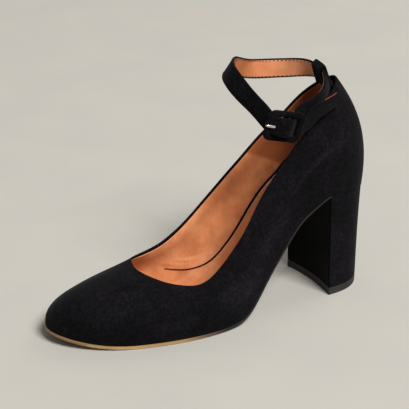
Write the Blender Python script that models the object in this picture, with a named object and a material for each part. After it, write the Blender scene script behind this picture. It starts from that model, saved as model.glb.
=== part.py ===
# Left shoe of a pair: ankle-strap pump with a covered block heel.
# Lengths in this file are millimetres until a mesh is made; MM turns them into metres.
# +X runs to the toe, +Y to the outer (lateral) side, +Z up; the floor is z = 0.
import math

import bmesh
import bpy
import numpy as np

for stale in list(bpy.data.objects):
    bpy.data.objects.remove(stale, do_unlink=True)

MM = 0.001
GAP = 0.3                 # clearance between pieces that touch

# driving sizes
FOOT_LENGTH = 217.0       # back of the seat to the toe, along the floor
BALL_WIDTH = 76.0         # scale of every width, lateral edge to medial edge at the ball
SEAT_HEIGHT = 67.0        # floor to the underside of the sole at the heel
QUARTER_HEIGHT = 76.0     # sole to the top of the back
UPPER_WALL = 1.8
SOLE_THICKNESS = 2.4      # outsole under the ball
SOLE_REAR_THICKNESS = 1.4
SOLE_BEVEL = 0.7
INSOLE_THICKNESS = 2.2
TOE_SPRING = 6.0
BREAST_X = 37.0           # front face of the heel at the sole
HEEL_FOOT_LENGTH = 33.0   # heel at the floor, back to front
HEEL_FOOT_WIDTH = 49.0
BREAST_HOLLOW = 2.6       # how far the middle of the heel's front face is set back
TOP_PIECE_HEIGHT = 5.0
STRAP_WIDTH = 12.5
STRAP_THICKNESS = 2.0
FOLD_THICKNESS = 1.0      # strap pared down where it turns round the buckle bar
LOOP_WIDTH = 12.0
LOOP_THICKNESS = 1.5
BUCKLE_LENGTH = 24.0
BUCKLE_HEIGHT = 20.2
BUCKLE_THICKNESS = 2.4
BUCKLE_BAND = 3.2
BAR_RADIUS = 0.8
PRONG_WIDTH = 1.6
PRONG_THICKNESS = 0.8
PASS_THICKNESS = 1.6      # strap pressed flat inside the buckle

# the row's origin is the middle of the heel's floor face
HEEL_FOOT_FRONT = BREAST_X - 1.2
ORIGIN_X = HEEL_FOOT_FRONT - HEEL_FOOT_LENGTH / 2

# Shape of the upper. Each row is one line from the sole's edge up to the topline, and the rows go
# round from the toe by the lateral side. Columns: name, way round (0 to 1), sole edge x (share of
# FOOT_LENGTH), sole edge y (share of BALL_WIDTH), topline x, topline y, topline height over the
# sole (share of QUARTER_HEIGHT), bulge out at the foot (share of BALL_WIDTH), rise at the foot
# (share of QUARTER_HEIGHT), reach out at the top (share of BALL_WIDTH), drop at the top (share of
# QUARTER_HEIGHT).
ROWS = [
    ("toe", 0.000, 1.0028, -0.1692, 0.7407, -0.0435, 0.5052, 0.027, 0.241, 0.398, 0.077),
    ("toe_lat", 0.050, 0.9670, 0.0675, 0.7250, 0.0903, 0.4874, 0.037, 0.237, 0.425, 0.051),
    ("toe_lat2", 0.100, 0.8871, 0.2380, 0.6967, 0.2098, 0.4658, 0.044, 0.227, 0.348, 0.048),
    ("ball_lat", 0.165, 0.7691, 0.3670, 0.6531, 0.3019, 0.4449, 0.050, 0.239, 0.209, 0.080),
    ("side_lat", 0.235, 0.6348, 0.4392, 0.5947, 0.3588, 0.4632, 0.055, 0.226, 0.094, 0.142),
    ("waist_lat", 0.300, 0.4972, 0.4230, 0.5212, 0.3507, 0.6094, 0.040, 0.266, 0.034, 0.180),
    ("arch_lat", 0.360, 0.3697, 0.3461, 0.4387, 0.3104, 0.7562, 0.038, 0.283, 0.035, 0.190),
    ("shank_lat", 0.410, 0.2651, 0.3203, 0.3454, 0.2633, 0.7489, 0.036, 0.317, 0.033, 0.226),
    ("heel_lat", 0.450, 0.1652, 0.3241, 0.2291, 0.2351, 0.7333, 0.034, 0.393, 0.106, 0.234),
    ("back_lat", 0.480, 0.0604, 0.2590, 0.1443, 0.1720, 0.8702, 0.040, 0.405, 0.184, 0.255),
    ("back", 0.510, 0.0000, -0.0187, 0.0971, 0.0053, 0.9505, 0.045, 0.392, 0.210, 0.284),
    ("back_med", 0.540, 0.0597, -0.2956, 0.1302, -0.1571, 0.8342, 0.048, 0.395, 0.155, 0.263),
    ("heel_med", 0.570, 0.1657, -0.3592, 0.2108, -0.2497, 0.6668, 0.042, 0.384, 0.081, 0.241),
    ("shank_med", 0.610, 0.2667, -0.3201, 0.3249, -0.3181, 0.6267, 0.054, 0.322, 0.012, 0.221),
    ("arch_med", 0.660, 0.3714, -0.2861, 0.4195, -0.3525, 0.6253, 0.065, 0.299, -0.013, 0.191),
    ("waist_med", 0.720, 0.5030, -0.3546, 0.5078, -0.3932, 0.5970, 0.062, 0.289, -0.025, 0.196),
    ("side_med", 0.785, 0.6468, -0.4990, 0.5911, -0.3934, 0.5081, 0.044, 0.250, 0.011, 0.195),
    ("ball_med", 0.850, 0.7753, -0.5467, 0.6675, -0.3433, 0.4777, 0.039, 0.224, 0.096, 0.173),
    ("toe_med2", 0.910, 0.8913, -0.4913, 0.7181, -0.2542, 0.4957, 0.022, 0.215, 0.214, 0.144),
    ("toe_med", 0.960, 0.9633, -0.3670, 0.7335, -0.1574, 0.5035, 0.021, 0.217, 0.341, 0.113),
]
BACK_AT = 0.510           # way round at which the back seam lies

# Underside of the sole. Columns: x (share of FOOT_LENGTH), height (share of SEAT_HEIGHT).
SOLE_LINE = [
    (-0.0092, 0.9937), (0.0922, 1.0109), (0.1751, 1.0209), (0.2212, 0.9403), (0.2765, 0.8082),
    (0.3318, 0.6003), (0.3871, 0.3985), (0.4332, 0.2280), (0.4793, 0.0807), (0.5346, 0.0122),
    (0.6083, 0.0000),
]
BALL_SLANT = 0.2          # the ball line runs back towards the lateral side by this share
SPRING_FROM = 0.80        # share of FOOT_LENGTH where the toe starts to lift


def smooth(value):
    value = np.clip(value, 0.0, 1.0)
    return value * value * (3.0 - 2.0 * value)


def splineSlopes(steps, rises):
    # second derivatives of the cubic spline with free ends through the knots
    n = len(rises) + 1
    a = np.zeros((n, n))
    b = np.zeros((n,) + rises.shape[1:])
    a[0, 0] = 1.0
    a[-1, -1] = 1.0
    for i in range(1, n - 1):
        a[i, i - 1] = steps[i - 1]
        a[i, i] = 2.0 * (steps[i - 1] + steps[i])
        a[i, i + 1] = steps[i]
        b[i] = 6.0 * (rises[i] / steps[i] - rises[i - 1] / steps[i - 1])
    return np.linalg.solve(a, b)


def openSpline(knots, values, at):
    # cubic spline with free ends, held at its end values outside the knots
    knots = np.asarray(knots, float)
    values = np.asarray(values, float)
    steps = np.diff(knots)
    bend = splineSlopes(steps, np.diff(values, axis=0))
    at = np.clip(np.asarray(at, float), knots[0], knots[-1])
    i = np.clip(np.searchsorted(knots, at, side="right") - 1, 0, len(knots) - 2)
    shape = (-1,) + (1,) * (values.ndim - 1)
    t = (at - knots[i]).reshape(shape)
    h = steps[i].reshape(shape)
    slope = (values[i + 1] - values[i]) / h - h * (2.0 * bend[i] + bend[i + 1]) / 6.0
    return values[i] + slope * t + bend[i] / 2.0 * t**2 + (bend[i + 1] - bend[i]) / (6.0 * h) * t**3


def roundSpline(knots, values, at):
    # the same spline closed on itself after one turn: three turns are laid end to end
    knots = np.asarray(knots, float)
    values = np.asarray(values, float)
    turns = np.concatenate([knots - 1.0, knots, knots + 1.0])
    return openSpline(turns, np.concatenate([values] * 3), np.mod(at, 1.0))


def soleLine(x, y):
    # underside of the sole: seat, shank and tread, then the toe spring
    x = np.asarray(x, float)
    y = np.asarray(y, float)
    along = x / FOOT_LENGTH
    spread = smooth((along - 0.207) / 0.323) * np.clip((0.806 - along) / 0.138, 0.0, 1.0)
    slanted = along + BALL_SLANT * y / FOOT_LENGTH * spread
    knots = [k for k, _ in SOLE_LINE]
    z = openSpline(knots, [h for _, h in SOLE_LINE], slanted.ravel()).reshape(slanted.shape)
    z = np.where(slanted >= knots[-1], 0.0, np.maximum(z, 0.0)) * SEAT_HEIGHT
    lift = np.clip((along - SPRING_FROM) / (1.0 - SPRING_FROM), 0.0, None)
    return z + TOE_SPRING * lift**2


def soleTop(x, y):
    # top of the sole, where the upper stands: the sole thins towards the heel
    share = smooth((np.asarray(x, float) / FOOT_LENGTH - 0.184) / 0.161)
    return soleLine(x, y) + SOLE_REAR_THICKNESS + (SOLE_THICKNESS - SOLE_REAR_THICKNESS) * share


TABLE = np.array([row[1:] for row in ROWS], float)


def edgeRow(at):
    return roundSpline(TABLE[:, 0], TABLE[:, 1:], at)


def edgeFrame(at):
    # sole edge point, topline point and their outward normals for each way round
    fine = 1e-4
    row, row_a, row_b = (edgeRow(np.asarray(at) + d) for d in (0.0, -fine, fine))
    normals = []
    for c in (0, 2):
        ahead = row_b[:, c:c + 2] - row_a[:, c:c + 2]
        ahead = ahead * np.array([FOOT_LENGTH, BALL_WIDTH])
        normal = np.stack([ahead[:, 1], -ahead[:, 0], np.zeros(len(ahead))], axis=1)
        normals.append(normal / np.linalg.norm(normal, axis=1)[:, None])
    foot_x = row[:, 0] * FOOT_LENGTH
    foot_y = row[:, 1] * BALL_WIDTH
    top_x = row[:, 2] * FOOT_LENGTH
    top_y = row[:, 3] * BALL_WIDTH
    foot = np.stack([foot_x, foot_y, soleTop(foot_x, foot_y) + GAP + 0.1], axis=1)
    top = np.stack([top_x, top_y, soleLine(top_x, top_y) + row[:, 4] * QUARTER_HEIGHT], axis=1)
    return foot, top, normals[0], normals[1], row


def upperSurface(at, up):
    # outer face of the upper: a cubic curve from the sole's edge to the topline for each row
    foot, top, foot_out, top_out, row = edgeFrame(at)
    rise = np.array([0.0, 0.0, 1.0])
    p1 = foot + foot_out * row[:, 5:6] * BALL_WIDTH + rise * row[:, 6:7] * QUARTER_HEIGHT
    p2 = top + top_out * row[:, 7:8] * BALL_WIDTH - rise * row[:, 8:9] * QUARTER_HEIGHT
    t = np.asarray(up, float)[None, :, None]
    return (
        (1 - t) ** 3 * foot[:, None] + 3 * t * (1 - t) ** 2 * p1[:, None]
        + 3 * t**2 * (1 - t) * p2[:, None] + t**3 * top[:, None]
    )


def upperNormals(at, up):
    # outward normals of that face, turned level at the very foot so the edge stands square
    fine = 1e-3
    up = np.asarray(up, float)
    low = np.clip(up - fine, 0.0, 1.0)
    high = np.clip(up + fine, 0.0, 1.0)
    climb = upperSurface(at, high) - upperSurface(at, low)
    around = upperSurface(np.asarray(at) + fine, up) - upperSurface(np.asarray(at) - fine, up)
    normal = np.cross(around, climb)
    normal /= np.linalg.norm(normal, axis=2)[:, :, None]
    level = edgeFrame(at)[2][:, None, :]
    blend = smooth(up / 0.12)[None, :, None]
    normal = level * (1.0 - blend) + normal * blend
    return normal / np.linalg.norm(normal, axis=2)[:, :, None]


def colour(hex_code):
    # sRGB hex to linear
    parts = [int(hex_code[i:i + 2], 16) / 255.0 for i in (1, 3, 5)]
    linear = [p / 12.92 if p <= 0.04045 else ((p + 0.055) / 1.055) ** 2.4 for p in parts]
    return (*linear, 1.0)


def material(name, hex_code, roughness, metallic):
    made = bpy.data.materials.new(name)
    made.use_nodes = True
    shader = made.node_tree.nodes["Principled BSDF"]
    shader.inputs["Base Color"].default_value = colour(hex_code)
    shader.inputs["Roughness"].default_value = roughness
    shader.inputs["Metallic"].default_value = metallic
    return made


def solid(name, points, faces, look, is_round=True):
    # one closed piece, moved so that the row's origin is at the heel
    points = (np.asarray(points, float) - np.array([ORIGIN_X, 0.0, 0.0])) * MM
    mesh = bpy.data.meshes.new(name)
    mesh.from_pydata(points.tolist(), [], [list(map(int, f)) for f in faces])
    shell = bmesh.new()
    shell.from_mesh(mesh)
    bmesh.ops.recalc_face_normals(shell, faces=shell.faces)
    if shell.calc_volume(signed=True) < 0.0:
        bmesh.ops.reverse_faces(shell, faces=shell.faces)
    shell.to_mesh(mesh)
    shell.free()
    mesh.update()
    mesh.polygons.foreach_set("use_smooth", [is_round] * len(mesh.polygons))
    mesh.materials.append(look)
    made = bpy.data.objects.new(name, mesh)
    bpy.context.collection.objects.link(made)
    return made


def ringFaces(rings, size, closed):
    # quads between rings of points; the rings close on themselves
    faces = []
    last = rings if closed else rings - 1
    for i in range(last):
        for j in range(size):
            a = i * size + j
            b = i * size + (j + 1) % size
            c = ((i + 1) % rings) * size + (j + 1) % size
            d = ((i + 1) % rings) * size + j
            faces.append((a, b, c, d))
    return faces


def sweep(name, rings, look, capped=True, is_round=True):
    # a tube through equal rings of points, capped at both ends or closed on itself
    rings = np.asarray(rings, float)
    count, size = rings.shape[:2]
    faces = ringFaces(count, size, not capped)
    if capped:
        faces.append(tuple(range(size - 1, -1, -1)))
        faces.append(tuple((count - 1) * size + j for j in range(size)))
    return solid(name, rings.reshape(-1, 3), faces, look, is_round)


def slab(name, layers, look, is_round=True):
    # a block between a lowest and a highest grid; layers between give only their outer edge
    layers = [np.asarray(g, float) for g in layers]
    rows, cols = layers[0].shape[:2]
    edge = [(0, j) for j in range(cols)] + [(i, cols - 1) for i in range(1, rows)]
    edge += [(rows - 1, j) for j in range(cols - 2, -1, -1)] + [(i, 0) for i in range(rows - 2, 0, -1)]
    points = [layers[0].reshape(-1, 3), layers[-1].reshape(-1, 3)]
    grid = rows * cols
    faces = []
    for i in range(rows - 1):
        for j in range(cols - 1):
            a = i * cols + j
            quad = (a, a + 1, a + cols + 1, a + cols)
            faces.append(quad)
            faces.append(tuple(grid + v for v in reversed(quad)))
    loops = [[i * cols + j for i, j in edge]]
    used = 2 * grid
    for layer in layers[1:-1]:
        points.append(np.array([layer[i, j] for i, j in edge]))
        loops.append(list(range(used, used + len(edge))))
        used += len(edge)
    loops.append([grid + i * cols + j for i, j in edge])
    for low, high in zip(loops[:-1], loops[1:]):
        for k in range(len(edge)):
            m = (k + 1) % len(edge)
            faces.append((low[m], low[k], high[k], high[m]))
    return solid(name, np.concatenate(points), faces, look, is_round)


SUEDE = material("black_suede", "#1a181b", 0.95, 0.0)
TAN_LEATHER = material("tan_leather", "#c98156", 0.6, 0.0)
SOLE_LEATHER = material("sole_leather", "#b08a5c", 0.55, 0.0)
RUBBER = material("black_rubber", "#141414", 0.45, 0.0)
STEEL = material("nickel_plate", "#d8d8d6", 0.2, 1.0)

# upper: outer face and inner face, joined along the topline and along the foot
ROUND = 92
UP = np.array([0.0, 0.05, 0.12, 0.21, 0.31, 0.42, 0.54, 0.66, 0.78, 0.9, 1.0])
ways = np.arange(ROUND) / ROUND
outer = upperSurface(ways, UP)
inner = outer - upperNormals(ways, UP) * UPPER_WALL
upper_rings = np.concatenate([outer, inner[:, ::-1]], axis=1)
sweep("upper", upper_rings, SUEDE, capped=False)


def outline(at, inset):
    # sole edge drawn in by an inset, level; z is filled in later
    foot, _, out, _, _ = edgeFrame(at)
    return (foot - out * inset)[:, :2]


def crossGrid(inset, rows, cols, from_x):
    # plan grid of the sole: lines across the foot, rounded at the toe, cut straight at from_x
    toe_span = 0.035
    low = outline(np.linspace(toe_span, BACK_AT - 0.02, 700), inset)
    med = outline(np.linspace(1.0 - toe_span, BACK_AT + 0.02, 700), inset)
    if from_x is None:
        stop_l = len(low) - 1
        stop_m = len(med) - 1
    else:
        stop_l = int(np.argmax(low[:, 0] < from_x))
        stop_m = int(np.argmax(med[:, 0] < from_x))
    share = np.linspace(0.0, 1.0, rows)
    grid = []
    for f in share:
        a = low[int(round(f * stop_l))].copy()
        b = med[int(round(f * stop_m))].copy()
        if from_x is not None and f == 1.0:
            a[0] = from_x
            b[0] = from_x
        w = np.linspace(0.0, 1.0, cols)[:, None]
        grid.append(a * (1 - w) + b * w)
    toe = outline(np.mod(np.linspace(toe_span, -toe_span, cols), 1.0), inset)
    grid[0] = toe
    if from_x is None:
        grid[-1] = outline(np.linspace(BACK_AT - 0.02, BACK_AT + 0.02, cols), inset)
    return np.array(grid)


def dressed(plan, height, add):
    # a plan grid lifted onto a height function
    z = height(plan[:, :, 0], plan[:, :, 1]) + add
    return np.concatenate([plan, z[:, :, None]], axis=2)


# outsole: toe to the heel's front face
SOLE_ROWS = 34
SOLE_COLS = 9
sole_from = BREAST_X
sole_plan = crossGrid(0.0, SOLE_ROWS, SOLE_COLS, sole_from)
sole_low = crossGrid(SOLE_BEVEL, SOLE_ROWS, SOLE_COLS, sole_from)
slab(
    "outsole",
    [
        dressed(sole_low, soleLine, 0.0),
        dressed(sole_plan, soleLine, SOLE_BEVEL * 0.6),
        dressed(sole_plan, soleTop, 0.0),
    ],
    SOLE_LEATHER,
)

# insole: fills the floor of the upper, toe to back
insole_plan = crossGrid(UPPER_WALL + GAP + 0.15, 44, SOLE_COLS, None)
slab(
    "insole",
    [
        dressed(insole_plan, soleTop, GAP + 0.15),
        dressed(insole_plan, soleTop, GAP + 0.15 + INSOLE_THICKNESS),
    ],
    TAN_LEATHER,
)


def heelPlan(inset):
    # plan of the heel at the seat: lines across, rounded back, front face hollowed
    xy_l = outline(np.linspace(0.40, BACK_AT - 0.016, 900), inset)
    xy_m = outline(np.linspace(0.63, BACK_AT + 0.016, 900), inset)
    front = BREAST_X - GAP
    start_l = int(np.argmax(xy_l[:, 0] < front))
    start_m = int(np.argmax(xy_m[:, 0] < front))
    rows = []
    for f in np.linspace(0.0, 1.0, 11):
        a = xy_l[int(round(start_l + f * (len(xy_l) - 1 - start_l)))]
        b = xy_m[int(round(start_m + f * (len(xy_m) - 1 - start_m)))]
        w = np.linspace(0.0, 1.0, 9)[:, None]
        rows.append(a * (1 - w) + b * w)
    rows[-1] = outline(np.linspace(BACK_AT - 0.016, BACK_AT + 0.016, 9), inset)
    return np.array(rows)


HEEL_INSET = 0.3
seat_plan = heelPlan(HEEL_INSET)
seat_length = seat_plan[:, :, 0].max() - seat_plan[:, :, 0].min()
seat_width = seat_plan[:, :, 1].max() - seat_plan[:, :, 1].min()
seat_middle = (seat_plan[:, :, 1].max() + seat_plan[:, :, 1].min()) / 2

# Heel sections. Columns: height (share of the block), back-to-front share of the way from the
# seat's length to the foot's, width likewise, and how far the front face has moved back.
HEEL_SECTIONS = [
    (0.0, 1.0, 1.0, 1.0),
    (0.12, 0.95, 0.98, 0.93),
    (0.35, 0.85, 0.95, 0.75),
    (0.65, 0.60, 0.75, 0.45),
    (0.88, 0.22, 0.30, 0.12),
    (1.0, 0.0, 0.0, 0.0),
]


def heelSection(level, top_z):
    # one section of the heel: the seat's plan scaled towards the foot's
    share, length_way, width_way, front_way = level
    length = seat_length + (HEEL_FOOT_LENGTH - seat_length) * length_way
    width = seat_width + (HEEL_FOOT_WIDTH - seat_width) * width_way
    front = BREAST_X - GAP + (HEEL_FOOT_FRONT - BREAST_X + GAP) * front_way
    grid = seat_plan.copy()
    grid[:, :, 0] = front + (grid[:, :, 0] - seat_plan[:, :, 0].max()) * length / seat_length
    grid[:, :, 1] = (grid[:, :, 1] - seat_middle) * width / seat_width + seat_middle * (1 - width_way)
    across = np.linspace(-1.0, 1.0, grid.shape[1])[None, :]
    fade = np.linspace(1.0, 0.0, grid.shape[0])[:, None] ** 3
    grid[:, :, 0] -= BREAST_HOLLOW * (1.0 - share**3) * (1.0 - across**2) * fade
    base = TOP_PIECE_HEIGHT + GAP
    z = base + (top_z - base) * share
    return np.concatenate([grid, z[:, :, None]], axis=2)


seat_top = soleTop(seat_plan[:, :, 0], seat_plan[:, :, 1]) - 0.05
slab("heel", [heelSection(level, seat_top) for level in HEEL_SECTIONS], SUEDE)

# top piece: the rubber lift under the heel
foot_grid = heelSection(HEEL_SECTIONS[0], seat_top)
lift_low = foot_grid.copy()
lift_low[:, :, 2] = 0.0
lift_edge = foot_grid.copy()
lift_edge[:, :, 2] = 0.6
lift_high = foot_grid.copy()
lift_high[:, :, 2] = TOP_PIECE_HEIGHT
middle = np.array([HEEL_FOOT_FRONT - HEEL_FOOT_LENGTH / 2, 0.0])
lift_low[:, :, :2] = middle + (lift_low[:, :, :2] - middle) * (1.0 - 0.6 / HEEL_FOOT_LENGTH)
slab("heel_top_piece", [lift_low, lift_edge, lift_high], RUBBER)

# Inside face of the back near its top, as x over y and height: a quadratic through its points.
back_ways = np.linspace(BACK_AT - 0.05, BACK_AT + 0.05, 21)
back_ups = np.linspace(0.62, 1.0, 16)
back_face = upperSurface(back_ways, back_ups) - upperNormals(back_ways, back_ups) * UPPER_WALL
back_face = back_face.reshape(-1, 3)
back_foot, back_top, _, back_out, back_row = edgeFrame(np.array([BACK_AT]))
BACK_Z = back_top[0, 2]


def backTerms(y, z):
    y = np.asarray(y, float)
    h = np.minimum(np.asarray(z, float) - BACK_Z, 0.0)
    over = np.maximum(np.asarray(z, float) - BACK_Z, 0.0)
    ones = np.ones_like(y + h)
    return [ones, y * ones, y**2 * ones, h * ones, h**2 * ones, y**2 * h], over


def backX(y, z):
    # above the topline the face is carried straight on
    terms, over = backTerms(y, z)
    return sum(c * t for c, t in zip(back_fit, terms)) + over * back_fit[3]


near_back = np.abs(back_face[:, 1]) < 8.5
terms, _ = backTerms(back_face[near_back, 1], back_face[near_back, 2])
back_fit = np.linalg.lstsq(np.stack(terms, axis=1), back_face[near_back, 0], rcond=None)[0]
lean = math.atan(back_fit[3])
# how far the face really stands in from the fitted one where the loop lies
near_loop = near_back & (back_face[:, 2] > BACK_Z - 14.0)
back_play = np.max(back_face[near_loop, 0] - backX(back_face[near_loop, 1], back_face[near_loop, 2]))
tail_in = 4.2 * GAP + back_play
loop_in = np.array([math.cos(lean), 0.0, -math.sin(lean)])

# buckle: where it hangs and how it is turned
BUCKLE_AT = np.array([76.8, 29.2, 125.6])
buckle_along = np.array([-0.945, 0.22, -0.22])
buckle_along /= np.linalg.norm(buckle_along)
buckle_out = np.array([0.25, 0.94, -0.15])
buckle_out -= buckle_along * buckle_out.dot(buckle_along)
buckle_out /= np.linalg.norm(buckle_out)
buckle_up = np.cross(buckle_out, buckle_along)


def onBuckle(along, out, up=0.0):
    return BUCKLE_AT + buckle_along * along + buckle_out * out + buckle_up * up


def roundedLoop(half_a, half_b, radius, per_corner):
    # a rounded rectangle with equal steps round each corner
    points = []
    for cx, cy, start in ((1, 1, 0.0), (-1, 1, 90.0), (-1, -1, 180.0), (1, -1, 270.0)):
        for k in range(per_corner):
            angle = math.radians(start + 90.0 * k / (per_corner - 1))
            points.append((cx * (half_a - radius) + radius * math.cos(angle),
                           cy * (half_b - radius) + radius * math.sin(angle)))
    return np.array(points)


CORNER_STEPS = 5
band = BUCKLE_BAND / 2
mid_loop = roundedLoop(BUCKLE_LENGTH / 2 - band, BUCKLE_HEIGHT / 2 - band, 2.6, CORNER_STEPS)
count = len(mid_loop)
ahead = np.roll(mid_loop, -1, axis=0) - np.roll(mid_loop, 1, axis=0)
side = np.stack([ahead[:, 1], -ahead[:, 0]], axis=1)
side /= np.linalg.norm(side, axis=1)[:, None]
frame_rings = []
for k in range(count):
    ring = []
    for m in range(8):
        angle = math.radians(22.5 + 45.0 * m)
        wide = band / math.cos(math.radians(22.5)) * math.cos(angle)
        high = BUCKLE_THICKNESS / 2 / math.cos(math.radians(22.5)) * math.sin(angle)
        spot = mid_loop[k] + side[k] * wide
        ring.append(onBuckle(spot[0], high, spot[1]))
    frame_rings.append(ring)
sweep("buckle_frame", frame_rings, SUEDE, capped=False)

bar_half = BUCKLE_HEIGHT / 2 - BUCKLE_BAND - GAP
bar_rings = []
for up in (-bar_half, bar_half):
    bar_rings.append([
        onBuckle(BAR_RADIUS * math.cos(math.radians(a)), BAR_RADIUS * math.sin(math.radians(a)), up)
        for a in range(0, 360, 30)
    ])
sweep("buckle_bar", bar_rings, STEEL)

# prong: hooked round the bar, through the strap and over the front of the frame
hook = BAR_RADIUS + GAP + PRONG_THICKNESS / 2
rest = BUCKLE_THICKNESS / 2 + GAP + PRONG_THICKNESS / 2
front_bar = -(BUCKLE_LENGTH / 2 - band)
prong_path = [(hook * math.cos(math.radians(a)), hook * math.sin(math.radians(a))) for a in range(-150, 91, 30)]
prong_path += [(-2.0, hook + 0.15), (-4.5, hook + 0.25), (front_bar + 1.8, rest + 0.05), (front_bar, rest)]
prong_path += [(front_bar - 1.2, rest - 0.1), (front_bar - 2.4, rest - 0.5)]
prong_path = np.array(prong_path)
prong_taper = np.ones(len(prong_path))
prong_taper[-1] = 0.55
turn = np.gradient(prong_path, axis=0)
turn /= np.linalg.norm(turn, axis=1)[:, None]
prong_rings = []
for (a, o), (ta, to), w in zip(prong_path, turn, prong_taper):
    ring = []
    for s_up, s_out in ((-1, -1), (1, -1), (1, 1), (-1, 1)):
        shift = s_out * PRONG_THICKNESS / 2 * w
        ring.append(onBuckle(a - to * shift, o + ta * shift, s_up * PRONG_WIDTH / 2 * w))
    prong_rings.append(ring)
sweep("buckle_prong", prong_rings, STEEL, is_round=False)

# Strap. It starts as a fold round the buckle bar, runs back inside the back of the shoe, through
# the loop, forward along the medial side, round the front of the ankle, through the buckle and
# ends as a free end outside. Columns: x, y, z, lean of its top edge inwards in degrees, thickness.
fold = BAR_RADIUS + GAP + FOLD_THICKNESS / 2
over_bar = fold + FOLD_THICKNESS / 2 + GAP + PASS_THICKNESS / 2
under = BUCKLE_THICKNESS / 2 + GAP + PASS_THICKNESS / 2
thin = FOLD_THICKNESS
full = STRAP_THICKNESS
press = PASS_THICKNESS
bar_at = BUCKLE_LENGTH / 2 - band
STRAP_START = [(2.9, -4.1, 0.0, thin), (1.3, -2.5, 0.0, thin)]
for turned in (-100, -140, 180, 140, 100, 65):
    angle = math.radians(turned)
    STRAP_START.append((fold * math.cos(angle), fold * math.sin(angle), 0.0, thin))
STRAP_START += [(2.6, 0.2, 0.0, thin), (5.4, -2.4, 0.3, full)]
STRAP_RING = [
    (65.3, 25.6, 128.6, -6.0, full),
    (53.6, 23.4, 132.0, -8.0, full),
    (43.8, 20.2, 135.4, -4.0, full),
    (36.8, 14.0, 139.3, 8.0, full),
    (32.7, 8.0, 141.1, 21.0, full),
    (30.4, 3.6, 141.8, 28.0, full),
    (29.9, 0.0, 142.2, 30.0, full),
    (30.1, -3.6, 142.6, 29.0, full),
    (32.3, -10.4, 143.1, 18.0, full),
    (39.4, -20.6, 141.9, 1.0, full),
    (56.8, -29.0, 141.6, -6.0, full),
    (71.6, -25.4, 145.4, 9.0, full),
    (79.6, -22.6, 148.8, 17.0, full),
    (86.6, -17.6, 151.6, 30.0, full),
    (92.4, -9.5, 151.4, 32.0, full),
    (94.6, -0.5, 149.0, 26.0, full),
    (93.0, 6.5, 144.1, 12.0, full),
    (89.6, 13.4, 138.3, 2.0, full),
]
STRAP_THROUGH = [
    (-bar_at - 1.3, -under - 3.2, 2.4, full), (-bar_at + 0.5, -under - 0.5, 1.0, press),
    (-bar_at + 3.2, -under + 1.6, 0.1, press), (-4.9, 0.35, 0.0, press),
    (-2.4, over_bar - 0.4, 0.0, press), (0.2, over_bar, 0.0, press), (2.6, over_bar - 0.5, 0.0, press),
    (5.4, 0.1, 0.0, press), (bar_at - 1.6, -under + 0.12, 0.0, press), (bar_at + 0.6, -under - 0.25, 0.0, press),
    (bar_at + 3.4, -under - 1.8, 0.0, full),
]
STRAP_END = [
    (53.8, 27.0, 128.2, -11.0, full),
    (43.2, 24.6, 130.2, -12.5, full),
    (32.1, 21.7, 132.5, -13.5, full),
]

RING_CENTRE = np.array([58.0, 0.0])
stations = []
for a, o, u, t in STRAP_START:
    stations.append((*onBuckle(a, o, u), *buckle_up, t))


def ringStation(x, y, z, lean_in, t):
    inward = np.array([RING_CENTRE[0] - x, RING_CENTRE[1] - y, 0.0])
    inward /= np.linalg.norm(inward)
    tilt = math.radians(lean_in)
    top = np.array([0.0, 0.0, math.cos(tilt)]) + inward * math.sin(tilt)
    return (x, y, z, *top, t)


STRAP_LOOP_AT = len(stations) + 6
stations += [ringStation(*s) for s in STRAP_RING]
for a, o, u, t in STRAP_THROUGH:
    stations.append((*onBuckle(a, o, u), *buckle_up, t))
stations += [ringStation(*s) for s in STRAP_END]
stations = np.array(stations)
chord = np.linalg.norm(np.diff(stations[:, :3], axis=0), axis=1)
walked = np.concatenate([[0.0], np.cumsum(chord)])


def spread(walk):
    # sample places along the strap: close in the fold and the buckle, wider round the ankle
    places = [walk[0]]
    for a, b in zip(walk[:-1], walk[1:]):
        steps = max(1, int(round((b - a) / 3.2)))
        places += [a + (b - a) * (k + 1) / steps for k in range(steps)]
    return np.array(places)


places = spread(walked)
along = openSpline(walked, stations, places)
path = along[:, :3]
heading = np.gradient(path, places, axis=0)
heading /= np.linalg.norm(heading, axis=1)[:, None]
width_way = along[:, 3:6] - heading * np.sum(along[:, 3:6] * heading, axis=1)[:, None]
width_way /= np.linalg.norm(width_way, axis=1)[:, None]
face_way = np.cross(heading, width_way)
STRAP_CHAMFER = 0.4
FREE_END_WIDTH = 9.5      # the free end narrows to this, from its lower edge
narrowing = smooth((places - walked[-4]) / (walked[-1] - walked[-4])) * (STRAP_WIDTH - FREE_END_WIDTH) / 2
strap_rings = []
for p, w, n, t, less in zip(path, width_way, face_way, along[:, 6], narrowing):
    hw = STRAP_WIDTH / 2 - less
    p = p + w * less
    ht = t / 2
    c = min(STRAP_CHAMFER, ht * 0.5)
    corners = (
        (-hw, -ht + c), (-hw + c, -ht), (hw - c, -ht), (hw, -ht + c),
        (hw, ht - c), (hw - c, ht), (-hw + c, ht), (-hw, ht - c),
    )
    strap_rings.append([p + w * a + n * b for a, b in corners])
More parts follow.
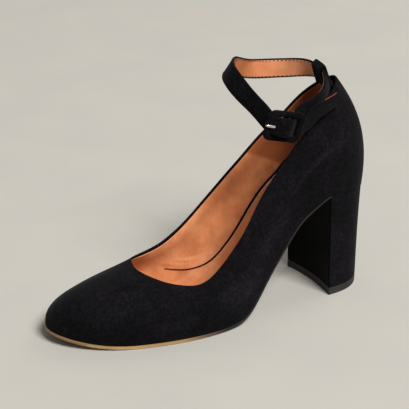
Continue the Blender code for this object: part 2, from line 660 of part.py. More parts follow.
# Loop at the top of the back: an oval band round the strap, its outer leg drawn down inside the
# back as a stitched tail.
LOOP_TAIL = 12.0
LOOP_KNEE = 0.0           # the outer leg bends in over the topline at this height
LOOP_STEPS = 7
hole_w = STRAP_WIDTH / 2 + GAP + 0.1
hole_t = STRAP_THICKNESS / 2 + GAP
by_loop = (path[:, 0] < 50.0) & (walked[STRAP_LOOP_AT - 3] < places) & (places < walked[STRAP_LOOP_AT + 3])
order = np.argsort(path[by_loop][:, 1])
loop_sections = []
for y in np.linspace(-LOOP_WIDTH / 2, LOOP_WIDTH / 2, LOOP_STEPS):
    p, w, n = (
        np.array([np.interp(y, path[by_loop][order, 1], v[by_loop][order, k]) for k in range(3)])
        for v in (path, width_way, face_way)
    )
    inside = n * math.copysign(1.0, n[0])
    t = LOOP_THICKNESS
    shape = [
        (hole_w, -hole_t), (hole_w, hole_t), (-hole_w, hole_t), (-hole_w, -hole_t),
        (hole_w + t * 0.55, -hole_t - t), (hole_w + t, -hole_t - t * 0.4),
        (hole_w + t, hole_t + t * 0.4), (hole_w + t * 0.55, hole_t + t),
        (-hole_w - t * 0.55, hole_t + t), (-hole_w - t, hole_t + t * 0.4),
    ]
    section = [p + w * a + inside * b for a, b in shape]
    for u, v in ((-LOOP_TAIL, tail_in + 0.6 * t), (-LOOP_TAIL, tail_in), (LOOP_KNEE, tail_in)):
        z = BACK_Z + u * math.cos(lean)
        section.append(np.array([backX(y, z), y, z]) + loop_in * v)
    # the knee stays clear of the hole
    rise = (section[-1][2] - section[3][2]) / (section[0][2] - section[3][2])
    hole_x = section[3][0] + (section[0][0] - section[3][0]) * rise
    section[-1][0] = min(section[-1][0], hole_x - 0.8 * t)
    loop_sections.append(section)
loop_points = np.concatenate(loop_sections)
loop_faces = []
for i in range(LOOP_STEPS - 1):
    a = i * 13
    b = a + 13
    for j in range(4):
        k = (j + 1) % 4
        loop_faces.append((a + j, b + j, b + k, a + k))
    for j in range(9):
        k = (j + 1) % 9
        loop_faces.append((a + 4 + k, b + 4 + k, b + 4 + j, a + 4 + j))
# end faces between the hole (0 to 3) and the rim (4 to 12)
END = [
    (4, 0, 12), (4, 5, 0), (5, 6, 1, 0), (6, 7, 1), (7, 8, 2, 1), (8, 9, 2), (9, 10, 3, 2),
    (10, 11, 3), (11, 12, 3), (12, 0, 3),
]
for face in END:
    loop_faces.append(tuple(face))
    loop_faces.append(tuple((LOOP_STEPS - 1) * 13 + v for v in reversed(face)))
solid("strap_loop", loop_points, loop_faces, SUEDE)

# the free end is cut to a blunt point
strap_rings = np.array(strap_rings)
tip_middle = path[-1] + width_way[-1] * narrowing[-1]
for j in range(8):
    away = (strap_rings[-1][j] - tip_middle)
    across = away.dot(width_way[-1])
    strap_rings[-1][j] -= heading[-1] * abs(across) * 0.45
strap = sweep("ankle_strap", strap_rings, SUEDE)


def cutBox(name, low, high):
    # a box on the buckle's axes, used only to cut
    corners = []
    for a in (low[0], high[0]):
        for o in (low[1], high[1]):
            for u in (low[2], high[2]):
                corners.append(onBuckle(a, o, u))
    faces = [(0, 1, 3, 2), (4, 6, 7, 5), (0, 4, 5, 1), (2, 3, 7, 6), (0, 2, 6, 4), (1, 5, 7, 3)]
    box = solid(name, corners, faces, SUEDE, False)
    box.hide_render = True
    box.display_type = "WIRE"
    return box


slot = PRONG_WIDTH / 2 + GAP + 0.2
fold_cut = cutBox("fold_cut", (-3.0, -3.1, -slot), (2.75, 2.55, slot))
hole_cut = cutBox("hole_cut", (-7.4, hook - 0.2 - PRONG_THICKNESS / 2 - GAP, -slot), (-1.0, rest + PRONG_THICKNESS / 2 + GAP + 0.2, slot))
for cutter in (fold_cut, hole_cut):
    cut = strap.modifiers.new(cutter.name, "BOOLEAN")
    cut.operation = "DIFFERENCE"
    cut.solver = "EXACT"
    cut.object = cutter
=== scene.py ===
# Left shoe of a pair: black suede ankle-strap pump on a covered block heel.
# +X runs to the toe, +Y to the outer side, +Z up. Shapes are worked out in millimetres from the
# back of the seat and move to the row's origin, in metres, when a mesh is made.
import math

import bmesh
import bpy
import numpy as np
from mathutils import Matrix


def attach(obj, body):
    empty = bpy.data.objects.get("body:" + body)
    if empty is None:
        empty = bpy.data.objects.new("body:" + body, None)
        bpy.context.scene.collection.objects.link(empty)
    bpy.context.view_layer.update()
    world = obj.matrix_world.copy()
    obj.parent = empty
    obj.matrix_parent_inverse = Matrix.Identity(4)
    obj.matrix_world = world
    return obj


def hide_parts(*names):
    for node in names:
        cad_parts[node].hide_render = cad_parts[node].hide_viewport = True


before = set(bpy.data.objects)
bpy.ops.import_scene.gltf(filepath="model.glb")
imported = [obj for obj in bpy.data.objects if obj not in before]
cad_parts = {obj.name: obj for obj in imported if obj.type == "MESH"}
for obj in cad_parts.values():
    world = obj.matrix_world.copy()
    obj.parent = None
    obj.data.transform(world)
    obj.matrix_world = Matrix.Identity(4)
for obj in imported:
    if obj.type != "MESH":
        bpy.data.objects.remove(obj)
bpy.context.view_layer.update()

scene = bpy.context.scene
scene.view_settings.view_transform = "Standard"

# camera first: it stands where the photograph's stood and is turned to the one shoe
camera = {
    "place": (0.4917, 0.6837, 0.4218),      # metres
    "turn": (66.129, -0.089, 149.932),      # degrees
    "lens": 124.0,
    "sensor": 36.0,
    "clip": (0.02, 20.0),
}
cameraData = bpy.data.cameras.new("camera")
cameraData.lens = camera["lens"]
cameraData.sensor_width = camera["sensor"]
cameraData.clip_start, cameraData.clip_end = camera["clip"]
cameraObject = bpy.data.objects.new("camera", cameraData)
cameraObject.location = camera["place"]
cameraObject.rotation_euler = [math.radians(angle) for angle in camera["turn"]]
scene.collection.objects.link(cameraObject)
scene.camera = cameraObject
print("camera placed")


# The last: the curves that every piece of the shoe takes its shape from

last = {
    "footLength": 217.0, "ballWidth": 76.0, "seatHeight": 67.0, "quarterHeight": 76.0,
    "gap": 0.3, "footLift": 0.1, "soleThickness": 2.4, "soleRearThickness": 1.4, "toeSpring": 6.0,
    "ballSlant": 0.2, "springFrom": 0.80, "breastX": 37.0, "originX": 19.3,
    "backAt": 0.510, "toeSpan": 0.035,
    # shares of the foot's length: where the slant across the ball comes in and goes out, and where
    # the sole grows to its full thickness
    "slantFrom": 0.207, "slantOver": 0.323, "slantTo": 0.806, "slantFade": 0.138,
    "thickFrom": 0.184, "thickOver": 0.161,
}
# One row for each line up the shoe, going round from the toe by the outer side. Columns: way round,
# sole edge x and y, topline x, y and height, bulge and rise at the foot, reach and drop at the top.
lastRows = np.array([
    (0.000, 1.0028, -0.1692, 0.7407, -0.0435, 0.5052, 0.027, 0.241, 0.398, 0.077),
    (0.050, 0.9670, 0.0675, 0.7250, 0.0903, 0.4874, 0.037, 0.237, 0.425, 0.051),
    (0.100, 0.8871, 0.2380, 0.6967, 0.2098, 0.4658, 0.044, 0.227, 0.348, 0.048),
    (0.165, 0.7691, 0.3670, 0.6531, 0.3019, 0.4449, 0.050, 0.239, 0.209, 0.080),
    (0.235, 0.6348, 0.4392, 0.5947, 0.3588, 0.4632, 0.055, 0.226, 0.094, 0.142),
    (0.300, 0.4972, 0.4230, 0.5212, 0.3507, 0.6094, 0.040, 0.266, 0.034, 0.180),
    (0.360, 0.3697, 0.3461, 0.4387, 0.3104, 0.7562, 0.038, 0.283, 0.035, 0.190),
    (0.410, 0.2651, 0.3203, 0.3454, 0.2633, 0.7489, 0.036, 0.317, 0.033, 0.226),
    (0.450, 0.1652, 0.3241, 0.2291, 0.2351, 0.7333, 0.034, 0.393, 0.106, 0.234),
    (0.480, 0.0604, 0.2590, 0.1443, 0.1720, 0.8702, 0.040, 0.405, 0.184, 0.255),
    (0.510, 0.0000, -0.0187, 0.0971, 0.0053, 0.9505, 0.045, 0.392, 0.210, 0.284),
    (0.540, 0.0597, -0.2956, 0.1302, -0.1571, 0.8342, 0.048, 0.395, 0.155, 0.263),
    (0.570, 0.1657, -0.3592, 0.2108, -0.2497, 0.6668, 0.042, 0.384, 0.081, 0.241),
    (0.610, 0.2667, -0.3201, 0.3249, -0.3181, 0.6267, 0.054, 0.322, 0.012, 0.221),
    (0.660, 0.3714, -0.2861, 0.4195, -0.3525, 0.6253, 0.065, 0.299, -0.013, 0.191),
    (0.720, 0.5030, -0.3546, 0.5078, -0.3932, 0.5970, 0.062, 0.289, -0.025, 0.196),
    (0.785, 0.6468, -0.4990, 0.5911, -0.3934, 0.5081, 0.044, 0.250, 0.011, 0.195),
    (0.850, 0.7753, -0.5467, 0.6675, -0.3433, 0.4777, 0.039, 0.224, 0.096, 0.173),
    (0.910, 0.8913, -0.4913, 0.7181, -0.2542, 0.4957, 0.022, 0.215, 0.214, 0.144),
    (0.960, 0.9633, -0.3670, 0.7335, -0.1574, 0.5035, 0.021, 0.217, 0.341, 0.113),
])
# underside of the sole: x as a share of the foot's length, height as a share of the seat's
soleRows = np.array([
    (-0.0092, 0.9937), (0.0922, 1.0109), (0.1751, 1.0209), (0.2212, 0.9403), (0.2765, 0.8082),
    (0.3318, 0.6003), (0.3871, 0.3985), (0.4332, 0.2280), (0.4793, 0.0807), (0.5346, 0.0122),
    (0.6083, 0.0000),
])


def smooth(value):
    # eases from 0 to 1: three times the square less twice the cube
    value = np.clip(value, 0.0, 1.0)
    return value * value * (3.0 - 2.0 * value)


def unit(vectors):
    # vectors divided by their lengths
    return vectors / np.linalg.norm(vectors, axis=-1, keepdims=True)


def walkAlong(points):
    # the distance walked at each point of a path: the running sum of its chords, from 0
    return np.concatenate([[0.0], np.cumsum(np.linalg.norm(np.diff(points, axis=0), axis=1))])


def fullTurn(count):
    # the angles of a full turn in equal steps
    return np.linspace(0.0, 2 * math.pi, count, endpoint=False)


def openSpline(knots, values, at):
    # cubic spline with free ends through the knots; the bends solve the usual three-term system
    knots = np.asarray(knots, float)
    values = np.asarray(values, float)
    steps = np.diff(knots)
    slopes = np.diff(values, axis=0) / steps.reshape((-1,) + (1,) * (values.ndim - 1))
    count = len(knots)
    system = np.eye(count)
    middle = np.arange(1, count - 1)
    system[middle, middle - 1] = steps[:-1]
    system[middle, middle] = 2.0 * (steps[:-1] + steps[1:])
    system[middle, middle + 1] = steps[1:]
    turns = np.zeros_like(values)
    turns[1:-1] = 6.0 * np.diff(slopes, axis=0)
    bends = np.linalg.solve(system, turns)
    at = np.clip(np.asarray(at, float), knots[0], knots[-1])
    left = np.clip(np.searchsorted(knots, at, side="right") - 1, 0, count - 2)
    shape = (-1,) + (1,) * (values.ndim - 1)
    t = (at - knots[left]).reshape(shape)
    h = steps[left].reshape(shape)
    a, b = bends[left], bends[left + 1]
    slope = slopes[left] - h * (2.0 * a + b) / 6.0
    return values[left] + slope * t + a / 2.0 * t**2 + (b - a) / (6.0 * h) * t**3


def roundSpline(knots, values, at):
    # the same spline closed on itself: three turns are laid end to end and the middle one is read
    turns = np.concatenate([knots - 1.0, knots, knots + 1.0])
    return openSpline(turns, np.concatenate([values] * 3), np.mod(at, 1.0))


def soleLine(x, y):
    # underside of the sole: the spline of soleRows read along a line slanted across the ball,
    # plus the toe spring, which grows with the square of the way past its start
    x, y = np.broadcast_arrays(np.asarray(x, float), np.asarray(y, float))
    along = x / last["footLength"]
    comesIn = smooth((along - last["slantFrom"]) / last["slantOver"])
    spread = comesIn * np.clip((last["slantTo"] - along) / last["slantFade"], 0.0, 1.0)
    slanted = along + last["ballSlant"] * y / last["footLength"] * spread
    z = openSpline(soleRows[:, 0], soleRows[:, 1], slanted.ravel()).reshape(slanted.shape)
    z = np.where(slanted >= soleRows[-1, 0], 0.0, np.maximum(z, 0.0)) * last["seatHeight"]
    lift = np.clip((along - last["springFrom"]) / (1.0 - last["springFrom"]), 0.0, None)
    return z + last["toeSpring"] * lift**2


def soleTop(x, y):
    # top of the sole: its underside plus a thickness that eases down towards the heel
    share = smooth((np.asarray(x, float) / last["footLength"] - last["thickFrom"]) / last["thickOver"])
    rear = last["soleRearThickness"]
    return soleLine(x, y) + rear + (last["soleThickness"] - rear) * share


def edgeFrame(way):
    # sole edge point, topline point and their level outward normals for each way round
    fine = 1e-4
    way = np.asarray(way, float)
    row, behind, ahead = (roundSpline(lastRows[:, 0], lastRows[:, 1:], way + d) for d in (0.0, -fine, fine))
    scale = np.array([last["footLength"], last["ballWidth"]])
    normals = []
    for column in (0, 2):
        step = (ahead - behind)[:, column:column + 2] * scale
        normal = np.stack([step[:, 1], -step[:, 0], np.zeros(len(step))], axis=1)
        normals.append(unit(normal))
    footX, footY = row[:, 0] * scale[0], row[:, 1] * scale[1]
    topX, topY = row[:, 2] * scale[0], row[:, 3] * scale[1]
    foot = np.stack([footX, footY, soleTop(footX, footY) + last["gap"] + last["footLift"]], axis=1)
    top = np.stack([topX, topY, soleLine(topX, topY) + row[:, 4] * last["quarterHeight"]], axis=1)
    return foot, top, normals[0], normals[1], row


def upperSurface(way, up):
    # outer face of the upper: for each way round, a cubic curve from the sole's edge to the topline
    foot, top, footOut, topOut, row = edgeFrame(way)
    rise = np.array([0.0, 0.0, 1.0])
    width, height = last["ballWidth"], last["quarterHeight"]
    low = foot + footOut * row[:, 5:6] * width + rise * row[:, 6:7] * height
    high = top + topOut * row[:, 7:8] * width - rise * row[:, 8:9] * height
    t = np.atleast_2d(np.asarray(up, float))[:, :, None]
    return (
        (1 - t) ** 3 * foot[:, None] + 3 * t * (1 - t) ** 2 * low[:, None]
        + 3 * t**2 * (1 - t) * high[:, None] + t**3 * top[:, None]
    )


def upperNormals(way, up):
    # outward normals of that face, the cross product of its two directions, level at the very foot
    fine, levelTo = 1e-3, 0.12
    up = np.atleast_2d(np.asarray(up, float))
    climb = upperSurface(way, np.clip(up + fine, 0, 1)) - upperSurface(way, np.clip(up - fine, 0, 1))
    around = upperSurface(way + fine, up) - upperSurface(way - fine, up)
    level = edgeFrame(way)[2][:, None, :]
    share = smooth(up / levelTo)[:, :, None]
    return unit(level * (1.0 - share) + unit(np.cross(around, climb)) * share)


def outline(way, inset):
    # plan of the sole's edge, drawn in level by an inset
    foot, _, out, _, _ = edgeFrame(way)
    return (foot - out * inset)[:, :2]


def planGrid(inset, grid, lateral, medial, fromX=None, toFront=False, toBack=False):
    # plan of the sole or seat, as grid rows and columns: straight lines across between the two
    # edges; at a rounded end they swell until the last line is the outline itself
    rowCount, colCount = grid
    fine, frontSwell, backSwell, swellPower = 1600, 0.12, 0.2, 1.4
    sides = []
    for start, stop in (lateral, medial):
        edge = outline(np.linspace(start, stop, fine), inset)
        first, final = 0.0, fine - 1.0
        if fromX is not None:
            crossing = float(np.interp(-fromX, -edge[:, 0], np.arange(fine)))
            first, final = (first, crossing) if toFront else (crossing, final)
        places = np.linspace(first, final, rowCount)
        sides.append(np.stack([np.interp(places, np.arange(fine), edge[:, k]) for k in (0, 1)], axis=1))
    across = np.linspace(0.0, 1.0, colCount)[None, :, None]
    plan = sides[0][:, None] * (1 - across) + sides[1][:, None] * across
    share = np.linspace(0.0, 1.0, rowCount)[:, None, None]
    if toFront:
        cap = outline(np.mod(np.linspace(lateral[0], medial[0] - 1.0, colCount), 1.0), inset)
        plan += (cap - plan[0])[None] * np.clip(1.0 - share / frontSwell, 0.0, 1.0) ** swellPower
    if toBack:
        cap = outline(np.linspace(lateral[1], medial[1], colCount), inset)
        plan += (cap - plan[-1])[None] * np.clip(1.0 - (1.0 - share) / backSwell, 0.0, 1.0) ** swellPower
    return plan


# Meshes

def gridFaces(countU, countV, wrapU=False, wrapV=False):
    # quads joining the neighbours of a grid whose points are numbered row by row
    u = np.arange(countU if wrapU else countU - 1)
    v = np.arange(countV if wrapV else countV - 1)
    a, b = np.meshgrid(u, v, indexing="ij")
    nextA, nextB = (a + 1) % countU, (b + 1) % countV
    corners = [a * countV + b, a * countV + nextB, nextA * countV + nextB, nextA * countV + b]
    return np.stack(corners, axis=-1).reshape(-1, 4).tolist()


def softenEdges(piece, width, angle):
    # rounds the edges that turn by more than an angle, in degrees, by a width in mm
    edge = piece.modifiers.new("softEdges", "BEVEL")
    edge.width = width * 0.001
    edge.segments = 3
    edge.limit_method = "ANGLE"
    edge.angle_limit = math.radians(angle)


def makePiece(name, pointsAndFaces, material, replaced=(), sharp=40.0, marks=None, bevel=0.0):
    # one closed mesh: points in millimetres move to the row's frame in metres and faces turn
    # outwards; each mark is an attribute, one value for every point or one for all
    points, faces = pointsAndFaces
    points = (np.asarray(points, float).reshape(-1, 3) - [last["originX"], 0.0, 0.0]) * 0.001
    mesh = bpy.data.meshes.new(name)
    mesh.from_pydata(points.tolist(), [], faces)
    shell = bmesh.new()
    shell.from_mesh(mesh)
    bmesh.ops.recalc_face_normals(shell, faces=shell.faces)
    if shell.calc_volume(signed=True) < 0.0:
        bmesh.ops.reverse_faces(shell, faces=shell.faces)
    shell.to_mesh(mesh)
    shell.free()
    mesh.shade_smooth()
    mesh.set_sharp_from_angle(angle=math.radians(sharp))
    for label, values in (marks or {}).items():
        layer = mesh.attributes.new(label, "FLOAT", "POINT")
        layer.data.foreach_set("value", (np.ravel(values) * np.ones(len(points))).astype(np.float32))
    mesh.materials.append(material)
    piece = bpy.data.objects.new(name, mesh)
    scene.collection.objects.link(piece)
    if bevel:
        softenEdges(piece, bevel, 35.0)
    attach(piece, "root")
    if replaced:
        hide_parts(*replaced)
    print(name, len(mesh.vertices), "points")
    return piece


def blockMesh(low, high, edges=()):
    # points and faces of a block: a lowest and a highest grid joined round their rims, through
    # any edge rings between them
    rows, cols = low.shape[:2]
    number = np.arange(rows * cols).reshape(rows, cols)
    rim = np.concatenate([number[0, :], number[1:, -1], number[-1, -2::-1], number[-2:0:-1, 0]])
    faces = gridFaces(rows, cols)
    faces += (np.array(gridFaces(rows, cols))[:, ::-1] + rows * cols).tolist()
    points = [low.reshape(-1, 3), high.reshape(-1, 3)]
    loops = [rim]
    for index, edge in enumerate(edges):
        points.append(edge.reshape(-1, 3)[rim])
        loops.append(2 * rows * cols + index * len(rim) + np.arange(len(rim)))
    loops.append(rim + rows * cols)
    for lower, upper in zip(loops[:-1], loops[1:]):
        faces += np.stack([np.roll(lower, -1), lower, upper, np.roll(upper, -1)], axis=1).tolist()
    return np.concatenate(points), faces


def tubeMesh(rings, closed=False):
    # points and faces of a tube through equal rings, closed on itself or capped
    count, size = rings.shape[:2]
    faces = gridFaces(count, size, closed, True)
    if not closed:
        faces.append(list(range(size - 1, -1, -1)))
        faces.append(list(range((count - 1) * size, count * size)))
    return rings.reshape(-1, 3), faces


def onHeight(plan, height, add):
    # a plan grid lifted onto a height function
    z = height(plan[:, :, 0], plan[:, :, 1]) + add
    return np.concatenate([plan, z[:, :, None]], axis=2)


# Materials

def linearColour(hexCode):
    # sRGB hex to linear light
    parts = np.array([int(hexCode[i:i + 2], 16) for i in (1, 3, 5)]) / 255.0
    linear = np.where(parts <= 0.04045, parts / 12.92, ((parts + 0.055) / 1.055) ** 2.4)
    return (*linear.tolist(), 1.0)


def addNode(tree, kind, inputs=None, out=0, stops=(), **options):
    # a node with its options: each input takes a value or another node's output, a colour ramp
    # takes (place, hex colour) stops, and the output asked for is handed back. A mix node's inputs
    # are 0 for the share, 2 and 3 for numbers, 6 and 7 for colours; its output 2 is the colour
    node = tree.nodes.new(kind)
    for label, value in options.items():
        setattr(node, label, value)
    for socket, value in (inputs or {}).items():
        if isinstance(value, bpy.types.NodeSocket):
            tree.links.new(value, node.inputs[socket])
        else:
            node.inputs[socket].default_value = value
    if stops:
        points = node.color_ramp.elements
        while len(points) < len(stops):
            points.new(0.5)
        for point, (place, hexCode) in zip(points, stops):
            point.position = place
            point.color = linearColour(hexCode)
    return node.outputs[out]


def newMaterial(name, finish, **values):
    # a Principled material, its tree and its shader, with uniform values set on the shader itself
    made = bpy.data.materials.new(name)
    made.use_nodes = True
    tree = made.node_tree
    shader = tree.nodes["Principled BSDF"]
    values.update(Roughness=finish["roughness"], Specular_IOR_Level=finish["specular"])
    for socket, value in values.items():
        shader.inputs[socket.replace("_", " ")].default_value = value
    return made, tree, shader


def pattern(tree, sizeMm, detail, roughness, distortion=0.0, stretch=(1.0, 1.0, 1.0)):
    # cloudy pattern whose blotches are about sizeMm across, read on Object coordinates: they are
    # divided by the stretch, which pulls the blotches out
    place = addNode(tree, "ShaderNodeTexCoord", out="Object")
    shrink = tuple(1.0 / share for share in stretch)
    return addNode(tree, "ShaderNodeTexNoise", {
        "Vector": addNode(tree, "ShaderNodeMapping", {"Vector": place, "Scale": shrink}),
        "Scale": 1000.0 / sizeMm, "Detail": detail, "Roughness": roughness, "Distortion": distortion,
    }, "Fac")


def dressShader(tree, shader, colour, bumps=(), gloss=None):
    # links the colour; a roughness that follows a pattern between two values; and bumps laid one
    # over another, each a height, its depth in mm and its strength
    tree.links.new(colour, shader.inputs["Base Color"])
    if gloss:
        swing = dict(zip(("Value", "To Min", "To Max"), gloss))
        tree.links.new(addNode(tree, "ShaderNodeMapRange", swing), shader.inputs["Roughness"])
    below = {}
    for height, depth, strength in bumps:
        inputs = {"Height": height, "Distance": depth * 0.001, "Strength": strength, **below}
        below = {"Normal": addNode(tree, "ShaderNodeBump", inputs)}
    if below:
        tree.links.new(below["Normal"], shader.inputs["Normal"])


def fleckedColour(tree, finish, base, over):
    # a finish's tones along one pattern, times its flecks along another, by the flecks' share
    ground = addNode(tree, "ShaderNodeValToRGB", {"Fac": base}, stops=finish["tones"])
    flecks = addNode(tree, "ShaderNodeValToRGB", {"Fac": over}, stops=finish["flecks"])
    mixed = {0: finish["fleckShare"], 6: ground, 7: flecks}
    return addNode(tree, "ShaderNodeMix", mixed, 2, data_type="RGBA", blend_type="MULTIPLY")


def dyedAndShadedColour(tree, finish, colour):
    # the colour mixed with each of a finish's dyes and painted shades, by the value of a mark times a share
    for mark, share, markColour in finish["dyesAndShade"]:
        value = addNode(tree, "ShaderNodeAttribute", out="Fac", attribute_name=mark)
        amount = addNode(tree, "ShaderNodeMath", {0: value, 1: share}, operation="MULTIPLY")
        mixed = {0: amount, 6: colour, 7: linearColour(markColour)}
        colour = addNode(tree, "ShaderNodeMix", mixed, 2, data_type="RGBA")
    return colour


# A finish's patterns are a size in mm, detail, roughness, distortion and stretch. Its bumps name a
# pattern, depth in mm and strength, and its gloss a pattern, lowest and highest roughness.
suede = {
    "patches": (24.0, 3.0, 0.6, 0.6), "clouds": (6.0, 4.0, 0.65, 0.4), "tufts": (1.9, 3.0, 0.7, 0.3),
    "fibres": (0.7, 3.0, 0.7),      # real fibres are 0.1 mm thick, drawn coarser to show
    "tuftShare": 0.6, "patchShare": 0.55,
    "tones": [(0.36, "#080709"), (0.5, "#0e0c0f"), (0.66, "#171519")],
    "flecks": [(0.38, "#4c4c4c"), (0.5, "#a4a4a4"), (0.62, "#ffffff")], "fleckShare": 0.85,
    "brushed": [(0.38, "#0e0c0f"), (0.62, "#26242a")],
    "roughness": 0.95, "specular": 0.06, "sheen": 0.03, "sheenRoughness": 0.4, "sheenTint": "#cfc9d6",
}


def suedeMaterial(name, useBrushed=False):
    # Calf suede, buffed: the nap lies this way and that, so it clouds light and dark, has no
    # gloss, and its fibres catch the light at grazing angles.
    made, tree, shader = newMaterial(
        name, suede, Sheen_Weight=suede["sheen"], Sheen_Roughness=suede["sheenRoughness"],
        Sheen_Tint=linearColour(suede["sheenTint"]))
    patches, clouds, tufts, fibres = (
        pattern(tree, *suede[kind]) for kind in ("patches", "clouds", "tufts", "fibres"))
    pile = addNode(tree, "ShaderNodeMix", {0: suede["tuftShare"], 2: fibres, 3: tufts})
    lie = addNode(tree, "ShaderNodeMix", {0: suede["patchShare"], 2: clouds, 3: patches})
    colour = fleckedColour(tree, suede, lie, pile)
    if useBrushed:
        mark = addNode(tree, "ShaderNodeAttribute", out="Fac", attribute_name="brushed")
        lift = addNode(tree, "ShaderNodeMath", {0: mark, 1: clouds}, operation="MULTIPLY")
        pale = addNode(tree, "ShaderNodeValToRGB", {"Fac": pile}, stops=suede["brushed"])
        colour = addNode(tree, "ShaderNodeMix", {0: lift, 6: colour, 7: pale}, 2, data_type="RGBA")
    dressShader(tree, shader, colour, [(clouds, 0.25, 0.35), (tufts, 0.35, 0.45), (fibres, 0.2, 0.5)])
    return made


lining = {
    "clouds": (26.0, 3.0, 0.6), "lines": (0.8, 3.0, 0.6, 0.3), "grain": (1.0, 3.0, 0.6), "lineShare": 0.18,
    "tones": [(0.36, "#a3623b"), (0.5, "#bb764c"), (0.64, "#cc8b60")],
    "flecks": [(0.3, "#e2d4cb"), (0.45, "#ffffff")], "fleckShare": 0.5,
    # the brown is painted shade in the upper's lining; it also darkens the sock and strap linings by a share
    "dyesAndShade": [("shadeAndTone", 0.9, "#844626"), ("backRimBlack", 1.0, "#0e0c0f")],
    "gloss": (0.36, 0.6), "roughness": 0.46, "specular": 0.4,
}


def liningMaterial(name, lineStretch, lineDepth):
    # Aniline pigskin lining: warm tan, clouded, with fine stretch lines across, faint pores and a
    # low shine; marks darken it to brown, which is painted shade in the upper's lining, and make it black
    # near the topline at the back.
    made, tree, shader = newMaterial(name, lining)
    clouds, grain = pattern(tree, *lining["clouds"]), pattern(tree, *lining["grain"])
    lines = pattern(tree, *lining["lines"], lineStretch)
    mixed = addNode(tree, "ShaderNodeMix", {0: lining["lineShare"], 2: clouds, 3: lines})
    colour = dyedAndShadedColour(tree, lining, fleckedColour(tree, lining, mixed, grain))
    bumps = [(lines, lineDepth, 0.5), (grain, 0.1, 0.4)]
    dressShader(tree, shader, colour, bumps, (grain, *lining["gloss"]))
    return made


# Finishes of the same build: the cloud pattern picks the tone, and flecks lie along the layers.
finishes = {
    # Vegetable-tanned sole leather, trimmed and waxed: pale tan, striped along its edge by the
    # layers pressed together, and inked black there from the waist back.
    "soleLeather": {
        "cloud": (30.0, 4.0, 0.6), "grain": (0.9, 3.0, 0.65),
        "layers": (1.0, 2.0, 0.5, 0.0, (40.0, 40.0, 1.0)),
        "tones": [(0.3, "#94734a"), (0.55, "#a88657"), (0.75, "#b99866")],
        "flecks": [(0.35, "#b89c80"), (0.6, "#ffffff")], "fleckShare": 0.45,
        "dyesAndShade": [("inked", 1.0, "#0c0a0a")],
        "bumps": [("layers", 0.1, 0.3), ("grain", 0.1, 0.35)], "gloss": ("cloud", 0.38, 0.62),
        "roughness": 0.5, "specular": 0.45, "metallic": 0.0,
    },
    # Smooth dyed calf: nearly black with a green cast, a tight grain and a low polish.
    "breastCalf": {
        "cloud": (14.0, 3.0, 0.55), "grain": (0.8, 3.0, 0.6), "tones": [(0.35, "#020302"), (0.65, "#060806")],
        "bumps": [("grain", 0.08, 0.35)], "gloss": ("grain", 0.45, 0.65),
        "roughness": 0.55, "specular": 0.03, "metallic": 0.0,
    },
    # Moulded hard rubber, trimmed flush: matt black with a dusty bloom and fine pits.
    "topPieceRubber": {
        "cloud": (6.0, 4.0, 0.65), "grain": (0.7, 2.0, 0.5), "tones": [(0.35, "#0c0c0d"), (0.7, "#1c1b1b")],
        "bumps": [("grain", 0.06, 0.3)], "gloss": ("cloud", 0.5, 0.75),
        "roughness": 0.6, "specular": 0.4, "metallic": 0.0,
    },
    # Waxed thread: nearly black, twisted and dull; it also makes the dark tube of painted shadow along the
    # sock's cove.
    "waxedThreadAndShadow": {
        "cloud": (0.6, 2.0, 0.5), "tones": [(0.35, "#060303"), (0.65, "#0d0706")],
        "bumps": [("cloud", 0.1, 0.4)], "roughness": 0.7, "specular": 0.05, "metallic": 0.0,
    },
    # Polished nickel plate on steel: bright, slightly warm, with hairline rub marks.
    "nickelPlate": {
        "cloud": (1.2, 3.0, 0.6, 0.0, (6.0, 1.0, 1.0)), "tones": [(0.3, "#b9b8b4"), (0.7, "#dddcd8")],
        "bumps": (), "gloss": ("cloud", 0.14, 0.34), "roughness": 0.22, "specular": 0.5, "metallic": 1.0,
    },
    # Seamless background paper: matt, even and pale warm grey.
    "paperFloor": {
        "cloud": (60.0, 3.0, 0.5), "tones": [(0.2, "#93908a"), (0.8, "#97948d")],
        "bumps": (), "roughness": 0.9, "specular": 0.1, "metallic": 0.0,
    },
}


def finishMaterial(name):
    # the material of one of these finishes
    finish = finishes[name]
    made, tree, shader = newMaterial(name, finish, Metallic=finish["metallic"])
    looks = {kind: pattern(tree, *finish[kind]) for kind in ("cloud", "layers", "grain") if kind in finish}
    if "flecks" in finish:
        colour = dyedAndShadedColour(tree, finish, fleckedColour(tree, finish, looks["cloud"], looks["layers"]))
    else:
        colour = addNode(tree, "ShaderNodeValToRGB", {"Fac": looks["cloud"]}, stops=finish["tones"])
    bumps = [(looks[kind], depth, strength) for kind, depth, strength in finish["bumps"]]
    gloss = finish.get("gloss")
    dressShader(tree, shader, colour, bumps, gloss and (looks[gloss[0]], *gloss[1:]))
    return made


blackSuede = suedeMaterial("blackSuede", True)
trimSuede = suedeMaterial("trimSuede")
# each lining's lines run their own way: stretched in x, y and z
liningLeather = liningMaterial("liningPigskin", (1.0, 7.0, 7.0), 0.12)
sockLeather = liningMaterial("sockPigskin", (1.0, 7.0, 1.0), 0.12)
strapLeather = liningMaterial("strapPigskin", (1.0, 1.0, 4.0), 0.1)
soleLeather = finishMaterial("soleLeather")
breastCalf = finishMaterial("breastCalf")
topRubber = finishMaterial("topPieceRubber")
nickelPlate = finishMaterial("nickelPlate")
darkThreadAndShadow = finishMaterial("waxedThreadAndShadow")
paperFloor = finishMaterial("paperFloor")
print("materials made")


# Upper: suede outside, pigskin inside, both with a rounded topline

